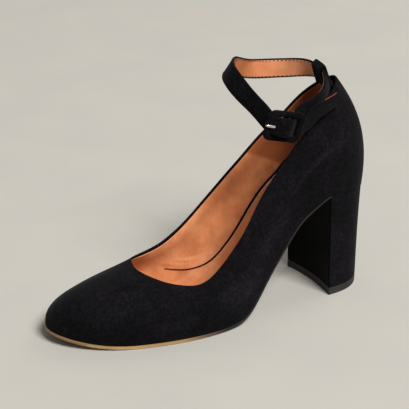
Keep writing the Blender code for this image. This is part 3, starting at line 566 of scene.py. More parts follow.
upper = {
    "suedeFrom": 0.0, "suedeTo": 1.3, "liningFrom": 1.36, "liningTo": 1.8, "liningShort": 2.1,
    "backRimAt": 0.486, "backRimWide": 0.046, "backRimDeep": 15.0, "backRimFade": 2.0, "backRimSideFade": 0.01,
    # where painted shade darkens the lining: a painted shadow's slanting edge, a band below the topline, and
    # the front from the ball
    "shadowEdgeAt": 59.0, "shadowEdgeHigh": 82.0, "shadowEdgeLean": 2.0, "shadowEdgeOver": 7.0,
    "rimShadeAt": 7.5, "rimShadeWide": 5.0, "rimShadeShare": 0.45,
    "ballAt": 100.0, "ballOver": 30.0, "ballShare": 0.28,
    # points round the shoe, up the outer face and down the inner face, and over the rim
    "suedeGrid": (420, 58, 18), "liningGrid": (520, 14, 48), "rimSteps": 9,
}
# soft forms of the leather over the last. Columns: way round, up, spread round, spread up, lean
# (ways per up), height in mm (minus is a trough)
upperForms = np.array([
    (0.452, 0.50, 0.030, 0.020, 0.10, 0.16),
    (0.452, 0.46, 0.030, 0.030, 0.10, -0.12),
    (0.300, 0.30, 0.016, 0.200, 0.05, -0.22),
    (0.262, 0.26, 0.012, 0.180, 0.06, 0.18),
    (0.335, 0.35, 0.014, 0.200, 0.04, 0.16),
    (0.225, 0.20, 0.010, 0.140, 0.05, -0.16),
    (0.740, 0.30, 0.014, 0.200, -0.05, -0.20),
    (0.780, 0.25, 0.012, 0.180, -0.05, 0.16),
])
# creases of the lining where the ball of the foot bends it, in the same columns
liningForms = np.array([
    (0.726, 0.27, 0.0050, 0.080, 0.16, 0.40),
    (0.716, 0.25, 0.0045, 0.090, 0.16, -0.35),
    (0.737, 0.30, 0.0050, 0.070, 0.18, -0.35),
    (0.747, 0.33, 0.0055, 0.080, 0.16, 0.35),
    (0.700, 0.30, 0.0070, 0.120, 0.10, 0.25),
    (0.660, 0.35, 0.0090, 0.160, 0.06, -0.22),
    (0.757, 0.30, 0.0060, 0.080, 0.10, -0.30),
    (0.250, 0.30, 0.0080, 0.140, -0.10, -0.25),
])
# where the nap is brushed up pale. Columns: way round, up, spread round, spread up, strength
brushedSpots = np.array([
    (0.315, 0.34, 0.030, 0.16, 0.75),
    (0.285, 0.55, 0.020, 0.14, 0.45),
    (0.365, 0.45, 0.022, 0.18, 0.40),
    (0.445, 0.52, 0.030, 0.05, 0.55),
    (0.200, 0.30, 0.030, 0.18, 0.35),
    (0.060, 0.50, 0.050, 0.20, 0.20),
    (0.760, 0.40, 0.040, 0.20, 0.40),
])


def hills(way, up, table, leans=False):
    # sum of rounded hills: each falls off with the square of the distance from its middle
    total = np.zeros(np.broadcast(way, up).shape)
    for entry in table:
        shift = entry[4] * (up - entry[1]) if leans else 0.0
        away = (np.mod(way - entry[0] - shift + 0.5, 1.0) - 0.5) / entry[2]
        total = total + entry[-1] * np.exp(-away**2 - ((up - entry[1]) / entry[3]) ** 2)
    return total


def upperLayer(grid, outerDepth, innerDepth, outerForms, innerForms, short=0.0):
    # one leather layer as a ring of profiles: up the outer face, over a half-round rim at the
    # topline, down the inner face; each depth is measured in from the last's surface, and short is
    # how far the layer stops below the topline
    wayCount, outerCount, innerCount = grid
    way = np.arange(wayCount) / wayCount
    half = (innerDepth - outerDepth) / 2
    nearTop = upperSurface(way, [0.99, 1.0])
    climb = nearTop[:, 1] - nearTop[:, 0]
    speed = np.linalg.norm(climb, axis=1)[:, None]
    climb /= speed
    reach = 1.0 - (half + short) / (speed * 100.0)
    outerT = reach * np.linspace(0.0, 1.0, outerCount)
    innerT = reach * np.linspace(0.0, 1.0, innerCount)[::-1]
    outerRelief = hills(way[:, None], outerT, outerForms, True)
    innerRelief = hills(way[:, None], innerT, innerForms, True)
    outer = upperSurface(way, outerT) + upperNormals(way, outerT) * (outerRelief - outerDepth)[:, :, None]
    inner = upperSurface(way, innerT) - upperNormals(way, innerT) * (innerDepth + innerRelief)[:, :, None]
    rimNormal = upperNormals(way, reach)[:, 0]
    centre = upperSurface(way, reach)[:, 0] - rimNormal * (outerDepth + half)
    turn = np.linspace(0.0, math.pi, upper["rimSteps"] + 2)[1:-1]
    rim = centre[:, None] + half * (
        rimNormal[:, None] * np.cos(turn)[None, :, None] + climb[:, None] * np.sin(turn)[None, :, None]
    )
    drop = np.array([0.0, 0.0, last["gap"] - 0.05])
    rings = np.concatenate([outer[:, :1] - drop, outer, rim, inner, inner[:, -1:] - drop], axis=1)
    return way, outerT, rings


ways, ups, suedeRings = upperLayer(
    upper["suedeGrid"], upper["suedeFrom"], upper["suedeTo"], upperForms, upperForms[:0])
brushed = np.zeros(suedeRings.shape[:2])
brushed[:, 1:1 + ups.shape[1]] = hills(ways[:, None], ups, brushedSpots)
suedeMarks = {"brushed": brushed}
makePiece("upper_suede", tubeMesh(suedeRings, True), blackSuede, ["upper"], 60.0, suedeMarks)
ways, ups, liningRings = upperLayer(
    upper["liningGrid"], upper["liningFrom"], upper["liningTo"],
    liningForms[:0], liningForms, upper["liningShort"])
# black where the lining is near the topline at the back
below = liningRings[:, ups.shape[1], 2][:, None] - liningRings[:, :, 2]
deep = smooth((upper["backRimDeep"] - below) / upper["backRimFade"])
aside = smooth((upper["backRimWide"] - np.abs(ways - upper["backRimAt"])) / upper["backRimSideFade"])
# painted shade, in brown: a painted shadow back from a slanting line, further forward the higher it
# is; painted shade in a band below the topline, and a little round the ball of the foot and ahead of it
shadowEdge = upper["shadowEdgeAt"] + (liningRings[:, :, 2] - upper["shadowEdgeHigh"]) * upper["shadowEdgeLean"]
quarterShadow = smooth((shadowEdge - liningRings[:, :, 0]) / upper["shadowEdgeOver"])
rimShade = upper["rimShadeShare"] * np.exp(-((below - upper["rimShadeAt"]) / upper["rimShadeWide"]) ** 2)
ball = upper["ballShare"] * smooth((liningRings[:, :, 0] - upper["ballAt"]) / upper["ballOver"])
liningMarks = {"backRimBlack": deep * aside[:, None], "shadeAndTone": np.maximum(np.maximum(quarterShadow, rimShade), ball)}
makePiece("upper_lining", tubeMesh(liningRings, True), liningLeather, (), 60.0, liningMarks)
print("upper made")


# Insole sock and outsole

insole = {
    "shadeAndTone": 0.25, "inset": 2.0, "under": 0.45, "thickness": 2.2, "round": 0.3, "grid": (190, 40),
    "dish": 0.5, "dishAt": 30.0, "dishLong": 24.0, "dishWide": 16.0,
}
toeSpan, backAt = last["toeSpan"], last["backAt"]
wholeLateral, wholeMedial = (toeSpan, backAt - 0.02), (1.0 - toeSpan, backAt + 0.02)


def sockTop(x, y):
    # top of the insole: level with the sole, hollowed a little where the heel sits
    away = (np.asarray(x) - insole["dishAt"]) / insole["dishLong"]
    share = np.exp(-away**2 - (np.asarray(y) / insole["dishWide"]) ** 2)
    return soleTop(x, y) - insole["dish"] * share


insolePlan, insoleIn = (planGrid(inset, insole["grid"], wholeLateral, wholeMedial, None, True, True)
                        for inset in (insole["inset"], insole["inset"] + insole["round"]))
insoleHigh = insole["under"] + insole["thickness"]
insoleMesh = blockMesh(
    onHeight(insolePlan, soleTop, insole["under"]),
    onHeight(insoleIn, sockTop, insoleHigh),
    [onHeight(insolePlan, soleTop, insoleHigh - insole["round"]),
     onHeight((insolePlan * 0.3 + insoleIn * 0.7), soleTop, insoleHigh - insole["round"] * 0.25)],
)
# the sock is darkened towards brown by a share of the mark that paints shade into the upper's lining
sockMarks = {"shadeAndTone": insole["shadeAndTone"]}
makePiece("insole_sock", insoleMesh, sockLeather, ["insole"], 50.0, sockMarks)

# On the inner side the sock turns up the wall in a cove; the dark tube along its top is painted shadow,
# standing in for the shadow in the gap between sock and lining.
# Columns: way round, height of the seam over the sole and how far it stands in from the wall, in mm
coveRows = np.array([
    (0.535, 9.6, 0.0), (0.567, 8.7, 0.0), (0.582, 6.0, 0.0), (0.602, 5.1, 0.0), (0.623, 5.0, 0.0),
    (0.639, 4.5, 0.0), (0.651, 3.4, 0.0), (0.666, 2.95, 1.4), (0.683, 2.95, 3.0), (0.697, 3.0, 2.4),
    (0.712, 4.9, 0.2), (0.730, 9.2, 0.0), (0.747, 12.7, 0.0), (0.756, 14.2, 0.0),
])
cove = {
    "depth": 2.2, "slope": 1.25, "least": 1.2, "lowest": 2.9, "sinkFrom": 0.712, "sinkBack": 0.02,
    "sinkBy": 0.5, "seam": 0.95, "seamFront": 0.5, "thickOut": 0.4, "thickDown": 0.5,
    "ways": 260, "steps": 14,
}


def wallPoint(way, height, depth):
    # a place on the inner wall, a height over the sole and a depth in from the last's surface: the
    # way up is found by reading the wall's own heights backwards
    ups = np.linspace(0.0, 0.6, 160)
    wall = upperSurface(way, ups)
    rise = wall[:, :, 2] - soleTop(wall[:, :, 0], wall[:, :, 1])
    step = np.clip((rise < height[:, None]).sum(axis=1), 1, len(ups) - 1)
    picked = np.arange(len(way))
    low, high = rise[picked, step - 1], rise[picked, step]
    up = ups[step - 1] + (ups[1] - ups[0]) * np.clip((height - low) / np.maximum(high - low, 1e-6), 0.0, 1.0)
    return (upperSurface(way, up[:, None]) - upperNormals(way, up[:, None]) * depth)[:, 0]


way = np.linspace(coveRows[0, 0], coveRows[-1, 0], cove["ways"])
seamHeight = np.maximum(openSpline(coveRows[:, 0], coveRows[:, 1], way), cove["lowest"])
seamIn = openSpline(coveRows[:, 0], coveRows[:, 2], way)
foot, _, footOut, _, _ = edgeFrame(way)
seamPlace = wallPoint(way, seamHeight, cove["depth"]) - footOut * seamIn[:, None]
reachIn = cove["depth"] + seamIn + np.maximum((seamHeight - insoleHigh) * cove["slope"], 0.0) + cove["least"]
ends = smooth(np.minimum(np.linspace(0.0, 8.0, len(way)), np.linspace(8.0, 0.0, len(way))))
landing = foot - footOut * reachIn[:, None]
landing[:, 2] = sockTop(landing[:, 0], landing[:, 1]) + insoleHigh + 0.06 * ends - 0.04
corner = seamPlace.copy()
corner[:, 2] = soleTop(seamPlace[:, 0], seamPlace[:, 1]) + insoleHigh
t = np.linspace(0.0, 1.0, cove["steps"])[None, :, None]
bridge = (1 - t) ** 2 * seamPlace[:, None] + 2 * t * (1 - t) * corner[:, None] + t**2 * landing[:, None]
# towards its ends the cove sinks into the corner of wall and floor
hug = seamPlace[:, None] + (corner - seamPlace)[:, None] * np.clip(2 * t, 0, 1)
hug = hug + (landing - corner)[:, None] * np.clip(2 * t - 1, 0, 1)
hug = hug + (footOut * cove["sinkBy"])[:, None] - [0.0, 0.0, cove["sinkBy"]]
sink = smooth((way - cove["sinkFrom"]) / (way[-1] - cove["sinkFrom"]))
sink = np.maximum(sink, smooth((way[0] + cove["sinkBack"] - way) / cove["sinkBack"]))[:, None, None]
face = bridge * (1 - sink) + hug * sink
under = face[:, ::-1] + (footOut * cove["thickOut"])[:, None] - [0.0, 0.0, cove["thickDown"]]
# the cove is darkened by half the sock's share of that mark
coveMarks = {"shadeAndTone": insole["shadeAndTone"] / 2}
coveMesh = tubeMesh(np.concatenate([face, under], axis=1))
makePiece("sock_cove", coveMesh, sockLeather, (), 50.0, coveMarks)
# painted shadow: a dark tube in the gap along the cove's top, thickest at the back
seamTaper = np.sin(np.pi * np.linspace(0.03, 0.97, len(way))) ** 0.4
seamTaper = seamTaper * np.linspace(cove["seam"], cove["seamFront"], len(way))
seamHeading = unit(np.gradient(seamPlace, axis=0))
seamOut = unit(np.cross(seamHeading, [0.0, 0.0, 1.0]))
seamUp = np.cross(seamOut, seamHeading)
turn = fullTurn(8)
seamRings = (seamPlace + footOut * 0.1)[:, None] + seamTaper[:, None, None] * (
    seamOut[:, None] * np.cos(turn)[None, :, None] + seamUp[:, None] * np.sin(turn)[None, :, None]
)
makePiece("sock_seam", tubeMesh(seamRings), darkThreadAndShadow, (), 50.0)

outsole = {"bevel": 0.7, "inkFrom": 165.0, "inkOver": 50.0, "inkLeast": 0.2, "grid": (200, 34)}
solePlan, soleIn = (planGrid(inset, outsole["grid"], wholeLateral, wholeMedial, last["breastX"], True)
                    for inset in (0.0, outsole["bevel"]))
soleIn[-1, :, 0] = last["breastX"]
soleMesh = blockMesh(
    onHeight(soleIn, soleLine, 0.0),
    onHeight(solePlan, soleTop, 0.0),
    [onHeight(solePlan * 0.7 + soleIn * 0.3, soleLine, outsole["bevel"] * 0.2),
     onHeight(solePlan, soleLine, outsole["bevel"] * 0.6)],
)
# the edge is inked, and the two faces within it aren't
inked = smooth((outsole["inkFrom"] - soleMesh[0][:, 0]) / outsole["inkOver"])
inked = np.maximum(inked, outsole["inkLeast"])
inner = np.zeros(soleIn.shape[:2], bool)
inner[1:-1, 1:-1] = True
inked[:2 * inner.size][np.tile(inner.ravel(), 2)] = 0.0
makePiece("outsole_leather", soleMesh, soleLeather, ["outsole"], 35.0, {"inked": inked})
print("sole made")


# Heel: suede-covered block, calf front, rubber top piece

heel = {
    "inset": 0.3, "footLength": 33.0, "footWidth": 49.0, "footBack": 1.2, "hollow": 2.6,
    "topPiece": 5.0, "panelEdge": 1.3, "panelProud": 0.28, "panelBack": 0.5, "panelSpots": 30,
    "panelUnder": 0.3, "panelShort": 0.15, "seatGap": 0.05, "coverBevel": 0.45, "panelBevel": 0.15,
    "levels": 44, "seatGrid": (46, 44),
}
# sections of the block. Columns: height, then shares of the way from the seat's length, width and
# front to the foot's
heelRows = np.array([
    (0.0, 1.0, 1.0, 1.0), (0.12, 0.95, 0.98, 0.93), (0.35, 0.85, 0.95, 0.75),
    (0.65, 0.60, 0.75, 0.45), (0.88, 0.22, 0.30, 0.12), (1.0, 0.0, 0.0, 0.0),
])
heelFront = last["breastX"] - last["gap"]
heelFootFront = last["breastX"] - heel["footBack"]
seatPlan = planGrid(
    heel["inset"], heel["seatGrid"], (0.40, backAt - 0.016), (0.63, backAt + 0.016), heelFront, False, True,
)
seatTop = soleTop(seatPlan[:, :, 0], seatPlan[:, :, 1]) - heel["seatGap"]


def heelGrid(share):
    # one section of the block: the seat's plan scaled towards the foot's, its front hollowed, at a
    # height that is a share of the way from the top piece to the seat
    wayLength, wayWidth, wayFront = openSpline(heelRows[:, 0], heelRows[:, 1:], np.array([share]))[0]
    x, y = seatPlan[:, :, 0], seatPlan[:, :, 1]
    seatLength, seatWidth = x.max() - x.min(), y.max() - y.min()
    seatMiddle = (y.max() + y.min()) / 2
    length = seatLength + (heel["footLength"] - seatLength) * wayLength
    width = seatWidth + (heel["footWidth"] - seatWidth) * wayWidth
    front = heelFront + (heelFootFront - heelFront) * wayFront
    newX = front + (x - x.max()) * length / seatLength
    newY = (y - seatMiddle) * width / seatWidth + seatMiddle * (1 - wayWidth)
    across = np.linspace(-1.0, 1.0, x.shape[1])[None, :]
    fade = np.linspace(1.0, 0.0, x.shape[0])[:, None] ** 3
    newX = newX - heel["hollow"] * (1.0 - share**3) * (1.0 - across**2) * fade
    base = heel["topPiece"] + last["gap"]
    return np.stack([newX, newY, base + (seatTop - base) * share], axis=2)


sections = [heelGrid(share) for share in np.linspace(0.0, 1.0, heel["levels"])]
heelMesh = blockMesh(sections[0], sections[-1], sections[1:-1])
makePiece("heel_cover", heelMesh, trimSuede, ["heel"], bevel=heel["coverBevel"])

breastRows = np.array([section[0] for section in sections])[1:-1]
edgeShare = heel["panelEdge"] / heel["footWidth"]
spots = np.linspace(edgeShare, 1.0 - edgeShare, heel["panelSpots"])
breastFront = np.stack([
    np.stack([np.interp(spots, np.linspace(0, 1, row.shape[0]), row[:, k]) for k in range(3)], axis=1)
    for row in breastRows
])
ceiling = soleLine(np.full_like(breastFront[:, :, 0], last["breastX"]), breastFront[:, :, 1])
ceiling = ceiling - heel["panelShort"]
floorZ = breastFront[0, :, 2] + heel["panelUnder"]
share = np.linspace(0.0, 1.0, len(breastFront))[:, None]
panelZ = floorZ * (1 - share) + ceiling[-1] * share
panelX, panelY = (
    np.stack([np.interp(panelZ[:, k], breastFront[:, k, 2], breastFront[:, k, axis])
              for k in range(heel["panelSpots"])], axis=1)
    for axis in (0, 1)
)
panel = np.stack([panelX, panelY, panelZ], axis=2)
panelMesh = blockMesh(panel - [heel["panelBack"], 0, 0], panel + [heel["panelProud"], 0, 0])
makePiece("heel_breast", panelMesh, breastCalf, bevel=heel["panelBevel"])

footPlan = heelGrid(0.0)
middle = np.array([heelFootFront - heel["footLength"] / 2, 0.0])


def liftRing(z, inset):
    # the heel's foot at another height, scaled in about its middle by an inset
    ring = footPlan.copy()
    ring[:, :, :2] = middle + (ring[:, :, :2] - middle) * (1.0 - 2 * inset / heel["footLength"])
    ring[:, :, 2] = z
    return ring


# the top piece's side: height and inset, with a groove round its middle
topSide = [
    (0.0, 0.55), (0.1, 0.25), (0.35, 0.05), (0.7, 0.0), (2.4, 0.0), (2.55, 0.1), (2.7, 0.0), (4.7, 0.0),
    (5.0, 0.12),
]
rings = [liftRing(z, inset) for z, inset in topSide]
topMesh = blockMesh(rings[0], rings[-1], rings[1:-1])
makePiece("heel_top_rubber", topMesh, topRubber, ["heel_top_piece"], 50.0)
print("heel made")


# Buckle: suede-covered frame, nickel bar and prong

buckle = {
    "place": (76.8, 29.2, 125.6), "along": (-0.945, 0.22, -0.22), "out": (0.25, 0.94, -0.15),
    "length": 24.0, "height": 20.2, "thickness": 2.5, "band": 3.90, "corner": 2.6, "axleReach": 5.2,
    "bar": 0.8, "prongWidth": 1.6, "prongThickness": 0.8, "squareness": 2.8,
}
buckleAt = np.array(buckle["place"])
buckleAlong = unit(np.array(buckle["along"]))
buckleOut = np.array(buckle["out"])
buckleOut = unit(buckleOut - buckleAlong * buckleOut.dot(buckleAlong))
buckleUp = np.cross(buckleOut, buckleAlong)


def onBuckle(along, out, up):
    # a place given on the buckle's own axes
    along, out, up = (np.asarray(v, float)[..., None] for v in (along, out, up))
    return buckleAt + buckleAlong * along + buckleOut * out + buckleUp * up


def superellipse(count, halfA, halfB, power):
    # closed curve between an ellipse and a box: each coordinate is a power of its sine or cosine
    a, b = np.cos(fullTurn(count)), np.sin(fullTurn(count))
    return (halfA * np.sign(a) * np.abs(a) ** (2 / power), halfB * np.sign(b) * np.abs(b) ** (2 / power))


band = buckle["band"] / 2
halfLong, halfHigh = buckle["length"] / 2 - band, buckle["height"] / 2 - band
cornerTurn = np.radians(np.linspace(0.0, 90.0, 9))
quarters = []
for signA, signB, start in ((1, 1, 0.0), (-1, 1, 90.0), (-1, -1, 180.0), (1, -1, 270.0)):
    turned = cornerTurn + math.radians(start)
    corner = buckle["corner"]
    quarters.append(np.stack([signA * (halfLong - corner) + corner * np.cos(turned),
                              signB * (halfHigh - corner) + corner * np.sin(turned)], axis=1))
midLine = np.concatenate(quarters)
fullLine = np.concatenate([midLine, midLine[:1]])
walk = walkAlong(fullLine)
spread = np.linspace(0.0, walk[-1], 120, endpoint=False)
midLine = np.stack([np.interp(spread, walk, fullLine[:, k]) for k in (0, 1)], axis=1)
ahead = np.roll(midLine, -1, axis=0) - np.roll(midLine, 1, axis=0)
side = unit(np.stack([ahead[:, 1], -ahead[:, 0]], axis=1))
wide, high = superellipse(24, band, buckle["thickness"] / 2, buckle["squareness"])
spot = midLine[:, None] + side[:, None] * wide[None, :, None]
frameRings = onBuckle(spot[:, :, 0], np.broadcast_to(high, spot.shape[:2]), spot[:, :, 1])
makePiece("buckle_cover", tubeMesh(frameRings, True), trimSuede, ["buckle_frame"], 60.0)

barHalf = buckle["axleReach"]
barUps = np.array([-barHalf, -barHalf + 0.15, barHalf - 0.15, barHalf])
barRound = np.array([0.65, 1.0, 1.0, 0.65]) * buckle["bar"]
turn = fullTurn(24)
barRings = onBuckle(barRound[:, None] * np.cos(turn), barRound[:, None] * np.sin(turn),
                    np.broadcast_to(barUps[:, None], (len(barUps), len(turn))))
makePiece("buckle_axle", tubeMesh(barRings), nickelPlate, ["buckle_bar"])

gap = last["gap"]
hook = buckle["bar"] + gap + buckle["prongThickness"] / 2
rest = buckle["thickness"] / 2 + gap + buckle["prongThickness"] / 2
frontBar = -halfLong
hookTurn = np.radians(np.arange(-150.0, 91.0, 30.0))
prongPath = np.concatenate([
    np.stack([hook * np.cos(hookTurn), hook * np.sin(hookTurn)], axis=1),
    [(-2.0, hook + 0.15), (-4.5, hook + 0.25), (frontBar + 1.8, rest + 0.05), (frontBar, rest),
     (frontBar - 1.2, rest - 0.1), (frontBar - 2.4, rest - 0.5)],
])
knots = walkAlong(prongPath)
places = np.linspace(0.0, knots[-1], 64)
prongPath = openSpline(knots, prongPath, places)
heading = unit(np.gradient(prongPath, axis=0))
taper = 1.0 - 0.45 * smooth((places - knots[-2]) / (knots[-1] - knots[-2]))
wide, high = superellipse(14, buckle["prongWidth"] / 2, buckle["prongThickness"] / 2, 3.0)
shift = taper[:, None] * high[None, :]
prongRings = onBuckle(prongPath[:, :1] - heading[:, 1:] * shift, prongPath[:, 1:] + heading[:, :1] * shift,
                      taper[:, None] * wide[None, :])
makePiece("buckle_tongue", tubeMesh(prongRings), nickelPlate, ["buckle_prong"], 50.0)
print("buckle made")


# Strap: suede face and pigskin back along one path, and the loop that holds it

strap = {
    "width": 12.5, "thickness": 2.0, "fold": 1.0, "press": 1.6, "endWidth": 9.5,
    "liningInset": 0.9, "endInset": 0.4, "split": 0.28, "endLining": 14.0, "shadeAndTone": 0.33, "endShadeAndTone": 1.0,
    "step": 0.8, "ringCentre": (58.0, 0.0), "boxiness": 5.0, "endOver": 5.0, "endDrawn": 0.45,
}
fold = buckle["bar"] + gap + strap["fold"] / 2
overBar = fold + strap["fold"] / 2 + gap + strap["press"] / 2
under = buckle["thickness"] / 2 + gap + strap["press"] / 2
thin, full, press = strap["fold"], strap["thickness"], strap["press"]
foldTurn = np.radians([-100.0, -140.0, 180.0, 140.0, 100.0, 65.0])
# each place on the buckle: along, out, up, thickness
strapStart = np.array([
    (2.9, -4.1, 0.0, thin), (1.3, -2.5, 0.0, thin),
    *[(fold * math.cos(a), fold * math.sin(a), 0.0, thin) for a in foldTurn],
    (2.6, 0.2, 0.0, thin), (5.4, -2.4, 0.3, full),
])
# each place round the ankle: x, y, z, lean of the top edge inwards, thickness
strapRing = np.array([
    (65.3, 25.6, 128.6, -6.0, full), (53.6, 23.4, 132.0, -8.0, full), (43.8, 20.2, 135.4, -4.0, full),
    (36.8, 14.0, 139.3, 8.0, full), (32.7, 8.0, 141.1, 21.0, full), (30.4, 3.6, 141.8, 28.0, full),
    (29.9, 0.0, 142.2, 30.0, full), (30.1, -3.6, 142.6, 29.0, full), (32.3, -10.4, 143.1, 18.0, full),
    (39.4, -20.6, 141.9, 1.0, full), (56.8, -29.0, 141.6, -6.0, full), (71.6, -25.4, 145.4, 9.0, full),
    (79.6, -22.6, 148.8, 17.0, full), (86.6, -17.6, 151.6, 30.0, full), (92.4, -9.5, 151.4, 32.0, full),
    (94.6, -0.5, 149.0, 26.0, full), (93.0, 6.5, 144.1, 12.0, full), (89.6, 13.4, 138.3, 2.0, full),
])
strapThrough = np.array([
    (-halfLong - 1.3, -under - 3.2, 2.4, full), (-halfLong + 0.5, -under - 0.5, 1.0, press),
    (-halfLong + 2.4, -under + 2.9, 0.5, press), (-5.6, 1.85, 0.45, press),
    (-2.4, overBar - 0.4, 0.45, press), (0.2, overBar, 0.4, press), (2.6, overBar - 0.5, 0.3, press),
    (5.4, 0.1, 0.2, press), (halfLong - 1.6, -under + 0.12, 0.1, press),
    (halfLong + 0.6, -under - 0.25, 0.0, press), (halfLong + 3.4, -under - 1.8, 0.0, full),
])
strapEnd = np.array([
    (53.8, 27.0, 128.2, -11.0, full), (43.2, 24.6, 130.2, -12.5, full), (32.1, 21.7, 132.5, -13.5, full),
])


def buckleStations(table):
    # place, width direction and thickness for stations given on the buckle
    place = onBuckle(table[:, 0], table[:, 1], table[:, 2])
    return np.concatenate([place, np.broadcast_to(buckleUp, place.shape), table[:, 3:]], axis=1)


def ringStations(table):
    # the same for stations round the ankle: the width direction leans in towards the ring's centre
    inward = unit(np.array(strap["ringCentre"]) - table[:, :2])
    tilt = np.radians(table[:, 3:4])
    top = np.concatenate([inward * np.sin(tilt), np.cos(tilt)], axis=1)
    return np.concatenate([table[:, :3], top, table[:, 4:]], axis=1)


stations = np.concatenate([
    buckleStations(strapStart), ringStations(strapRing), buckleStations(strapThrough), ringStations(strapEnd),
])
walked = walkAlong(stations[:, :3])
places = np.linspace(0.0, walked[-1], int(walked[-1] / strap["step"]))
along = openSpline(walked, stations, places)
path = along[:, :3]
heading = unit(np.gradient(path, places, axis=0))
widthWay = unit(along[:, 3:6] - heading * np.sum(along[:, 3:6] * heading, axis=1)[:, None])
faceWay = np.cross(heading, widthWay)
nearEnd = smooth((places - walked[-4]) / (walked[-1] - walked[-4]))
narrowing = nearEnd * (strap["width"] - strap["endWidth"]) / 2


def strapLayer(lowShare, highShare, inset, first=0, stop=None):
    # a strip along the strap: its section is a rounded box between two shares of the thickness,
    # and its last millimetres are drawn back at the edges to a blunt point
    part = slice(first, stop)
    thickness = along[part, 6]
    less = narrowing[part]
    half = strap["width"] / 2 - less - inset
    low, high = thickness * lowShare, thickness * highShare
    a, b = superellipse(20, 1.0, 1.0, strap["boxiness"])
    across = half[:, None] * a[None, :] + less[:, None]
    through = ((low + high) / 2)[:, None] + ((high - low) / 2)[:, None] * b[None, :]
    ends = smooth((places[part] - places[-1] + strap["endOver"]) / strap["endOver"])[:, None]
    ends = ends * np.abs(across - less[:, None]) * strap["endDrawn"]
    return (path[part, None] + widthWay[part, None] * across[:, :, None]
            + faceWay[part, None] * through[:, :, None] - heading[part, None] * ends[:, :, None])


faceMesh = tubeMesh(strapLayer(-strap["split"], 0.5, 0.0))
makePiece("strap_suede", faceMesh, trimSuede, ["ankle_strap"], 60.0)
# the lining stops short of the buckle, where the strap is pared and folded
afterFold = int(np.searchsorted(places, walked[len(strapStart) - 1]))
beforeBuckle = int(np.searchsorted(places, walked[len(strapStart) + len(strapRing) - 1] + 4.0))
afterBuckle = int(np.searchsorted(places, walked[-1] - strap["endLining"]))
# each strap lining is darkened towards brown by its share of the mark that paints shade into the upper's
# lining
for label, inset, shadeAndTone, first, stop in (
    ("strap_lining", strap["liningInset"], strap["shadeAndTone"], afterFold, beforeBuckle),
    ("strap_end_lining", strap["endInset"], strap["endShadeAndTone"], afterBuckle, None),
):
    backMesh = tubeMesh(strapLayer(-0.5, -strap["split"] - 0.02, inset, first, stop))
    makePiece(label, backMesh, strapLeather, (), 60.0, {"shadeAndTone": shadeAndTone})

stitch = {
    "pitch": 2.6, "length": 1.7, "radius": 0.2, "fromEdge": 1.25, "proud": 0.04, "fromEnd": 2.0,
    "rings": 7, "sides": 8,
}


def stitchRow(acrossAt, faceShare, first, stop):
    # a row of stitches: one small spindle is copied to each place; it lies along the strap's
    # heading, sunk to its middle in the face
    spots = np.arange(places[first] + stitch["fromEnd"], places[stop] - stitch["fromEnd"], stitch["pitch"])
    middle, heads, sides, outs = (
        np.stack([np.interp(spots, places, values[:, k]) for k in range(3)], axis=1)
        for values in (path, heading, widthWay, faceWay)
    )
    thickness = np.interp(spots, places, along[:, 6])
    middle = middle + sides * acrossAt + outs * (faceShare * (thickness + 2 * stitch["proud"]))[:, None]
    run = np.linspace(-1.0, 1.0, stitch["rings"])
    radii = np.sqrt(np.clip(1.02 - run**4, 0.0, 1.0)) * stitch["radius"]
    turn = fullTurn(stitch["sides"])
    shape = (heads[:, None, None] * (run * stitch["length"] / 2)[None, :, None, None]
             + sides[:, None, None] * (radii[:, None] * np.cos(turn))[None, :, :, None]
             + outs[:, None, None] * (radii[:, None] * np.sin(turn))[None, :, :, None])
    points = middle[:, None, None] + shape
    each = len(run) * len(turn)
    starts = np.arange(len(spots))[:, None] * each
    one = np.array(gridFaces(len(run), len(turn), False, True))
    cap = np.arange(len(turn))
    faces = (one[None] + starts[:, :, None]).reshape(-1, 4).tolist()
    faces += (starts + cap[::-1]).tolist() + (starts + each - len(turn) + cap).tolist()
    return points.reshape(-1, 3), faces


edgeAt = strap["width"] / 2 - stitch["fromEdge"]
rows = [stitchRow(hand * edgeAt, faceShare, afterFold, beforeBuckle)
        for hand in (-1, 1) for faceShare in (-0.5, 0.5)]
starts = np.cumsum([0] + [len(row[0]) for row in rows[:-1]])
stitchFaces = [[corner + int(start) for corner in face]
               for row, start in zip(rows, starts) for face in row[1]]
stitchMesh = (np.concatenate([row[0] for row in rows]), stitchFaces)
makePiece("strap_stitches", stitchMesh, darkThreadAndShadow, (), 60.0)

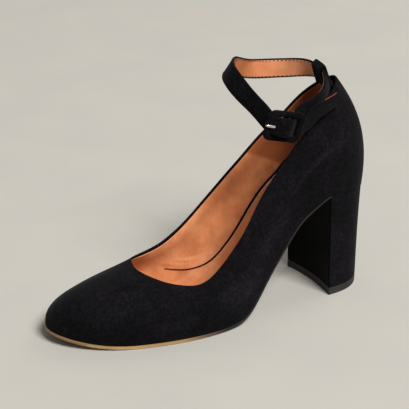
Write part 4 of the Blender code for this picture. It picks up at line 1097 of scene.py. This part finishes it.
# the loop is the CAD's own, its faces joined and its edges rounded
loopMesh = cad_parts["strap_loop"].data
corners = np.zeros(len(loopMesh.vertices) * 3)
loopMesh.vertices.foreach_get("co", corners)
corners = corners.reshape(-1, 3) * 1000.0 + [last["originX"], 0.0, 0.0]
triangles = [list(polygon.vertices) for polygon in loopMesh.polygons]
loopPiece = makePiece("strap_keeper", (corners, triangles), trimSuede, ["strap_loop"])
shell = bmesh.new()
shell.from_mesh(loopPiece.data)
bmesh.ops.remove_doubles(shell, verts=shell.verts, dist=1e-6)
bmesh.ops.dissolve_limit(shell, angle_limit=math.radians(2.0), verts=shell.verts, edges=shell.edges)
bmesh.ops.recalc_face_normals(shell, faces=shell.faces)
shell.to_mesh(loopPiece.data)
shell.free()
softenEdges(loopPiece, 0.35, 25.0)
print("strap made")


# Floor and light

studio = {
    "floorSize": 6.0, "ambient": 0.42, "ambientColour": "#fffdf8", "aim": (0.09, 0.0, 0.05),
    "keyPower": 980.0, "keySize": 2.6, "keyPlace": (-0.45, 4.35, 5.55),
    "fillPower": 14.0, "fillSize": 1.2, "fillPlace": (-1.6, -0.3, 1.6),
}
size = studio["floorSize"] / 2
floorMesh = bpy.data.meshes.new("floor")
floorCorners = [(-size, -size, 0.0), (size, -size, 0.0), (size, size, 0.0), (-size, size, 0.0)]
floorMesh.from_pydata(floorCorners, [], [(0, 1, 2, 3)])
floorMesh.materials.append(paperFloor)
floor = bpy.data.objects.new("floor", floorMesh)
scene.collection.objects.link(floor)

world = bpy.data.worlds.new("studio")
world.use_nodes = True
world.node_tree.nodes["Background"].inputs["Color"].default_value = linearColour(studio["ambientColour"])
world.node_tree.nodes["Background"].inputs["Strength"].default_value = studio["ambient"]
scene.world = world


def softLight(name, place, power, width):
    # a square area light that points at the shoe's middle
    data = bpy.data.lights.new(name, "AREA")
    data.energy = power
    data.size = width
    lamp = bpy.data.objects.new(name, data)
    toShoe = np.array(studio["aim"]) - np.array(place)
    lamp.location = place
    yaw = math.atan2(toShoe[0], -toShoe[1])
    pitch = math.atan2(math.hypot(toShoe[0], toShoe[1]), -toShoe[2])
    lamp.rotation_euler = (pitch, 0.0, yaw + math.pi)
    scene.collection.objects.link(lamp)


softLight("keyLight", studio["keyPlace"], studio["keyPower"], studio["keySize"])
softLight("fillLight", studio["fillPlace"], studio["fillPower"], studio["fillSize"])
print("studio made")
